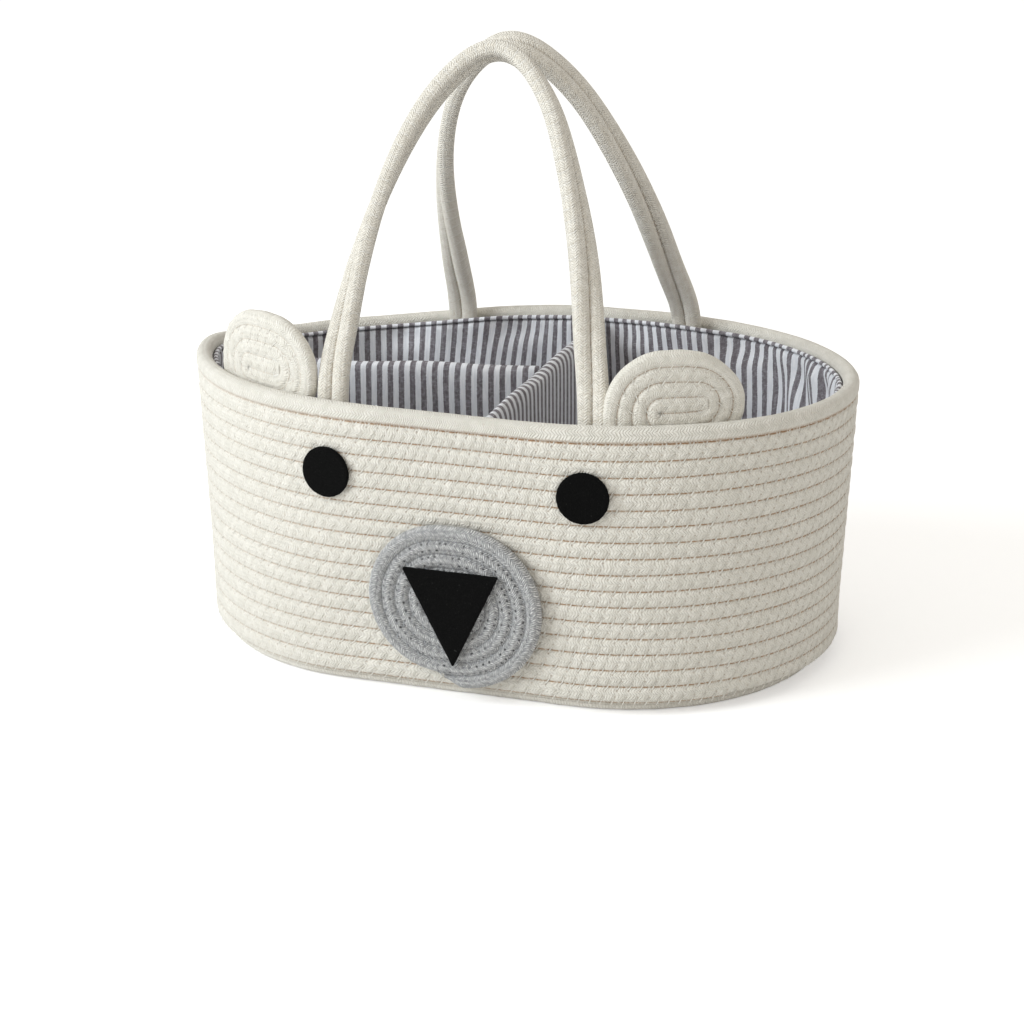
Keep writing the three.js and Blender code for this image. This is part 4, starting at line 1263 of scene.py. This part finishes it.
# 1 between two distances from the middle, with a smooth step at either side
def between(x, start, over, stop, past):
    return smooth((x - start) / over) * (1 - smooth((x - stop) / past))


# At the lip the cloth goes round each handle end
def lipBump(x):
    over = lining["lipOver"]
    return between(np.abs(x), lining["lipFrom"], over, lining["lipTo"], over)


# How far the cloth stands off the rope: once round the handle ends, and in front for the ears
def pocketDepth(x, back, z):
    far = np.abs(x)
    broad = between(far, lining["legFrom"], lining["legOver"], lining["legTo"], lining["legPast"])
    legs = lining["legDepth"] * lerp(broad, lipBump(x), smooth((z - 146) / 12))
    ears = between(far, lining["earFrom"], 20, lining["earTo"], lining["earPast"])
    depth = np.where(back, legs, np.maximum(legs, lining["earDepth"] * ears))
    return depth * smooth((z - lining["pocketFoot"]) / lining["pocketRise"])


def rightEnd(x):
    return smooth((x - lining["gatherFrom"]) / lining["gatherOver"])


# Soft folds that hang from the rim at the right end, where the cloth is gathered: slanted waves
# sin(along / size + slope z), strongest under the rim
def gathers(x, y, z, along):
    near = rightEnd(x) * smooth((150 - np.abs(y)) / 60) * smooth((z - 95) / 50)
    return near * (1.5 * np.sin(along / 4.6 + z / 16) + 0.9 * np.sin(along / 7.9 - z / 11 + 2))


# Shallow upright folds: waves round the wall whose phase shifts with the height
def wallFolds(shares, z):
    turn = shares * 2 * np.pi
    folds = 0.7 * np.sin(turn * 31 + z / 30) + 0.5 * np.sin(turn * 13 + 2 - z / 45)
    return folds + 0.6 * np.sin(turn * 47 + 1 + z / 22) * smooth((z - 90) / 50)


def makeLining():
    shares = np.linspace(0, 1, lining["columns"] + 1)[:-1]
    along = shares * lap
    side, angle = placeAt(shares)
    x, y, _ = wallPoint(side, angle, basket["rimTop"] + 0 * side, 0).T
    low = lining["lower"] * between(np.abs(x), *lining["lowered"]) * (y < 0)
    walls = [(z, lining["off"]) for z in np.linspace(lining["wallTop"], lining["foot"] + 3, 40)]
    rows = lipRows + walls + [(lining["foot"], 1.6)]
    knots = lining["wanderKnots"]
    wander = np.random.default_rng(lining["seed"]).normal(0, lining["wander"], knots + 1)
    wander = np.interp(shares * knots, np.arange(knots + 1), wander)
    pucker = np.sin(along * 2 * np.pi / lining["puckerPitch"] + wander)
    dropped = lengthsAlong(np.array(rows, float))
    grid, flat = [], []
    for (z, off), down in zip(rows, dropped):
        hanging = gathers(x, y, z, along)
        near = math.exp(-abs(z - lining["puckerAt"]) / lining["puckerOver"])
        inset = lining["ropeInner"] + lining["gap"] + off + pocketDepth(x, y >= 0, z)
        body = smooth((152 - z) / 40) * smooth((z - 12) / 30)
        inset = inset + body * (lining["belly"] + wallFolds(shares, z))
        inset = inset + lining["pucker"] * near * pucker
        inset = inset + lining["slack"] * smooth((163 - z) / 8) * rightEnd(x)
        inset = inset + hanging * smooth((162 - z) / 10)
        height = z - low * smooth((z - 120) / 30) + lining["puckerLift"] * pucker * near
        height = height + lining["lipLift"] * lipBump(x) * (y >= 0) * smooth((z - 140) / 20)
        grid.append(wallPoint(side, angle, height, inset))
        across = np.append(along, lap) + lining["draw"] * np.append(hanging, hanging[0])
        flat.append(np.stack([across, np.full(len(across), -down)], -1))
    grid = np.stack(grid)
    # A dark line of painted shade in the crease under the hem
    fromSeam = np.array([z - lining["seamAt"] for z, _ in rows])[:, None]
    seam = np.exp(-(fromSeam**2) / lining["seamSoft"])
    marks = {"seam": np.broadcast_to(seam, grid.shape[:2])}
    piece = sheetPiece("lining_wall_cloth", grid, np.stack(flat), stripedCotton, marks)
    enlist(piece, "striped_cotton", "basket", "lining_wall")


makeLining()


# The floor: an oval sheet in rings from the wall inwards, with a slight wave
def makeFloor(settings):
    side, angle = placeAt(np.linspace(0, 1, 161)[:-1])
    edge = wallPoint(side, angle, settings["z"] + 0 * side, lining["ropeInner"] + settings["gap"])
    grid, flat = [], []
    for share in np.linspace(1, 0.02, 26):
        points = edge * [share, share, 1]
        wave = 0.35 * np.sin(points[:, 0] / 23) * np.cos(points[:, 1] / 19 + 1)
        points[:, 2] = settings["z"] + wave + 0.4
        grid.append(points)
        flat.append(np.concatenate([points, points[:1]])[:, :2])
    piece = sheetPiece("lining_floor_cloth", np.stack(grid), np.stack(flat), stripedCotton)
    enlist(piece, "striped_cotton", "basket", "lining_floor")


makeFloor({"z": 10.1, "gap": 1.4})
print("lining made")


# Dividers
divider = {
    "thickness": 6, "x": 13.9, "bottom": 12.15, "top": 164.97, "drop": 9, "liningInset": 10.65,
    "strips": 3.4, "columns": 90, "rows": 60, "wave": 0.8, "puff": 0.2, "pressure": 1.5,
    "frames": 20, "cap": 1.7,
}


# Cloth simulation: pressure fills the cover without gravity. No point ends further than the cap
# from where it began, by cap tanh(move / cap).
def inflate(piece):
    scene = bpy.context.scene
    before = np.empty(len(piece.data.vertices) * 3, np.float32)
    piece.data.vertices.foreach_get("co", before)
    before = before.reshape(-1, 3)
    cloth = piece.modifiers.new("cloth", "CLOTH")
    cloth.settings.quality = 4
    cloth.settings.mass = 0.2
    cloth.settings.tension_stiffness = cloth.settings.compression_stiffness = 12
    cloth.settings.shear_stiffness = 6
    cloth.settings.bending_stiffness = 0.4
    cloth.settings.use_pressure = True
    cloth.settings.uniform_pressure_force = divider["pressure"]
    cloth.settings.effector_weights.gravity = 0
    cloth.collision_settings.use_collision = False
    cloth.point_cache.frame_start, cloth.point_cache.frame_end = 1, divider["frames"]
    for number in range(1, divider["frames"] + 1):
        scene.frame_set(number)
    shaped = piece.evaluated_get(bpy.context.evaluated_depsgraph_get()).to_mesh()
    after = np.empty(before.size, np.float32)
    shaped.vertices.foreach_get("co", after)
    piece.modifiers.remove(cloth)
    scene.frame_set(1)
    move = after.reshape(-1, 3) - before
    size = np.maximum(np.linalg.norm(move, axis=-1, keepdims=True), 1e-9)
    cap = divider["cap"] * mm
    move *= cap / size * np.tanh(size / cap)
    piece.data.vertices.foreach_set("co", (before + move).ravel())
    piece.data.update()
    print(f"{piece.name} filled: moved {size.mean() / mm:.2f} mm on average before the cap")


# Distances from one end of a panel: close together round its edges, even between them
def panelSteps(length, count):
    edges = np.array([0, 0.15, 0.5, 1.1, 1.9, 3.0])
    middle = np.linspace(0, 1, count)[1:-1]
    middle = lerp(edges[-1], length - edges[-1], middle)
    return np.concatenate([edges, middle, length - edges[::-1]])


# A padded panel: two faces that meet in round edges. At distance d from an edge, half the
# thickness is h sqrt(1 - (1 - d/h)^2), plus a slight fullness in the middle.
def makePanel(name, nodes, ends, toSpace, drop):
    half = divider["thickness"] / 2
    height = divider["top"] - divider["bottom"]

    def full(distance):
        return np.sqrt(1 - (1 - np.clip(distance / half, 0, 1)) ** 2)

    sheets, flats = [], []
    for v in panelSteps(height, divider["rows"]):
        z = divider["bottom"] + v
        left, right = ends(z)
        long = right - left
        u = panelSteps(long, divider["columns"])
        across = left + u
        down = drop * (1 - u / long) * v / height
        upright, level = np.sin(np.pi * v / height), np.sin(np.pi * u / long)
        wave = np.sin(across / 21 + 1) * np.sin(across / 47) * smooth(2 * v / height - 1)
        edge = full(np.minimum(u, long - u)) * full(min(v, height - v))
        buckle = 0.35 * np.sin(across / 17 + v / 29) * upright * edge
        thick = (half + divider["puff"] * upright * level) * edge
        sheets.append((across, thick, buckle, z - down + divider["wave"] * wave))
        flats.append(np.stack([across, np.full_like(across, v)], -1))
    front, rear = (
        np.stack([toSpace(a, face * t + b, z) for a, t, b, z in sheets]) for face in (1, -1)
    )
    rows, columns = front.shape[:2]
    index = np.arange(rows * columns).reshape(rows, columns)
    rearIndex = index + rows * columns
    for part in (np.s_[0, :], np.s_[-1, :], np.s_[:, 0], np.s_[:, -1]):
        rearIndex[part] = index[part]
    uv = np.stack(flats) * mm
    uv = layerCells(uv[..., 0], uv[..., 1], (rows, columns))
    rearQuads = cells(rearIndex).reshape(-1, 4)[:, ::-1]
    quads = np.concatenate([cells(index).reshape(-1, 4), rearQuads])
    points = np.concatenate([front.reshape(-1, 3), rear.reshape(-1, 3)])
    used, quads = np.unique(quads, return_inverse=True)
    layers = {"Cloth": np.concatenate([uv, uv[:, ::-1]])}
    piece = makePiece(name, points[used], quads.reshape(-1, 4), stripedCotton, layers=layers)
    inflate(piece)
    enlist(piece, "striped_cotton", "divider", *nodes)


# The cross panel runs from front to back, the long one from the left end to the cross panel
def makeDividers():
    inset = divider["liningInset"] + divider["strips"]

    def crossEnds(z):
        depth = float(wallPoint(*placeAtX(divider["x"], True, z), z, inset)[1])
        return -depth, depth

    def longEnds(z):
        left = float(wallPoint(np.array(-1.0), np.array(np.pi), z, inset)[0])
        return left, divider["x"] - divider["thickness"] / 2 + 0.2

    def acrossToSpace(a, t, z):
        return stackPoints(divider["x"] + t, a, z)

    for name, ends, toSpace, drop in (
        ("cross_divider", crossEnds, acrossToSpace, 0),
        ("long_divider", longEnds, stackPoints, divider["drop"]),
    ):
        makePanel(f"{name}_padded", [f"{name}_cover", f"{name}_board"], ends, toSpace, drop)


makeDividers()


# Hook-and-loop strips: thin plates with rounded corners
def makeStrips(settings):
    low, high = settings["bottom"], settings["bottom"] + settings["height"]
    middle = (low + high) / 2
    near = settings["loopAt"]
    c, s = ropeSection(np.degrees(np.linspace(0, 2 * np.pi, 49)[:-1]), 9)
    outline = np.stack([c * settings["width"] / 2, s * settings["height"] / 2], -1)
    profile = [(0.02, 0), (0.5, 0), (0.96, 0), (1, 0.2), (1, 0.8), (0.96, 1), (0.5, 1), (0.02, 1)]
    places = {where: placeAtX(divider["x"], where == "back", middle) for where in ("front", "back")}
    places["left"] = np.array(-1.0), np.array(np.pi)
    for where, (side, angle) in places.items():
        for kind, body, first, last in (
            ("loop", "basket", near, near + 1.0),
            ("hook", "divider", near + 1.4, near + 2.6),
        ):
            at, ahead = (wallPoint(side, angle, middle, inset) for inset in (first, last))
            up = unit(wallPoint(side, angle, high, first) - wallPoint(side, angle, low, first))
            out = ahead - at
            across = unit(np.cross(up, out))
            rows = [
                at + share * (outline[:, :1] * across + outline[:, 1:] * up) + depth * out
                for share, depth in profile
            ]
            piece = tubePiece(f"{kind}_tape_{where}", np.stack(rows), nylon)
            enlist(piece, "nylon", body, f"{kind}_strip_{where}")


makeStrips({"bottom": 92.97, "height": 60, "width": 16, "loopAt": 11.05})
print("dividers made")
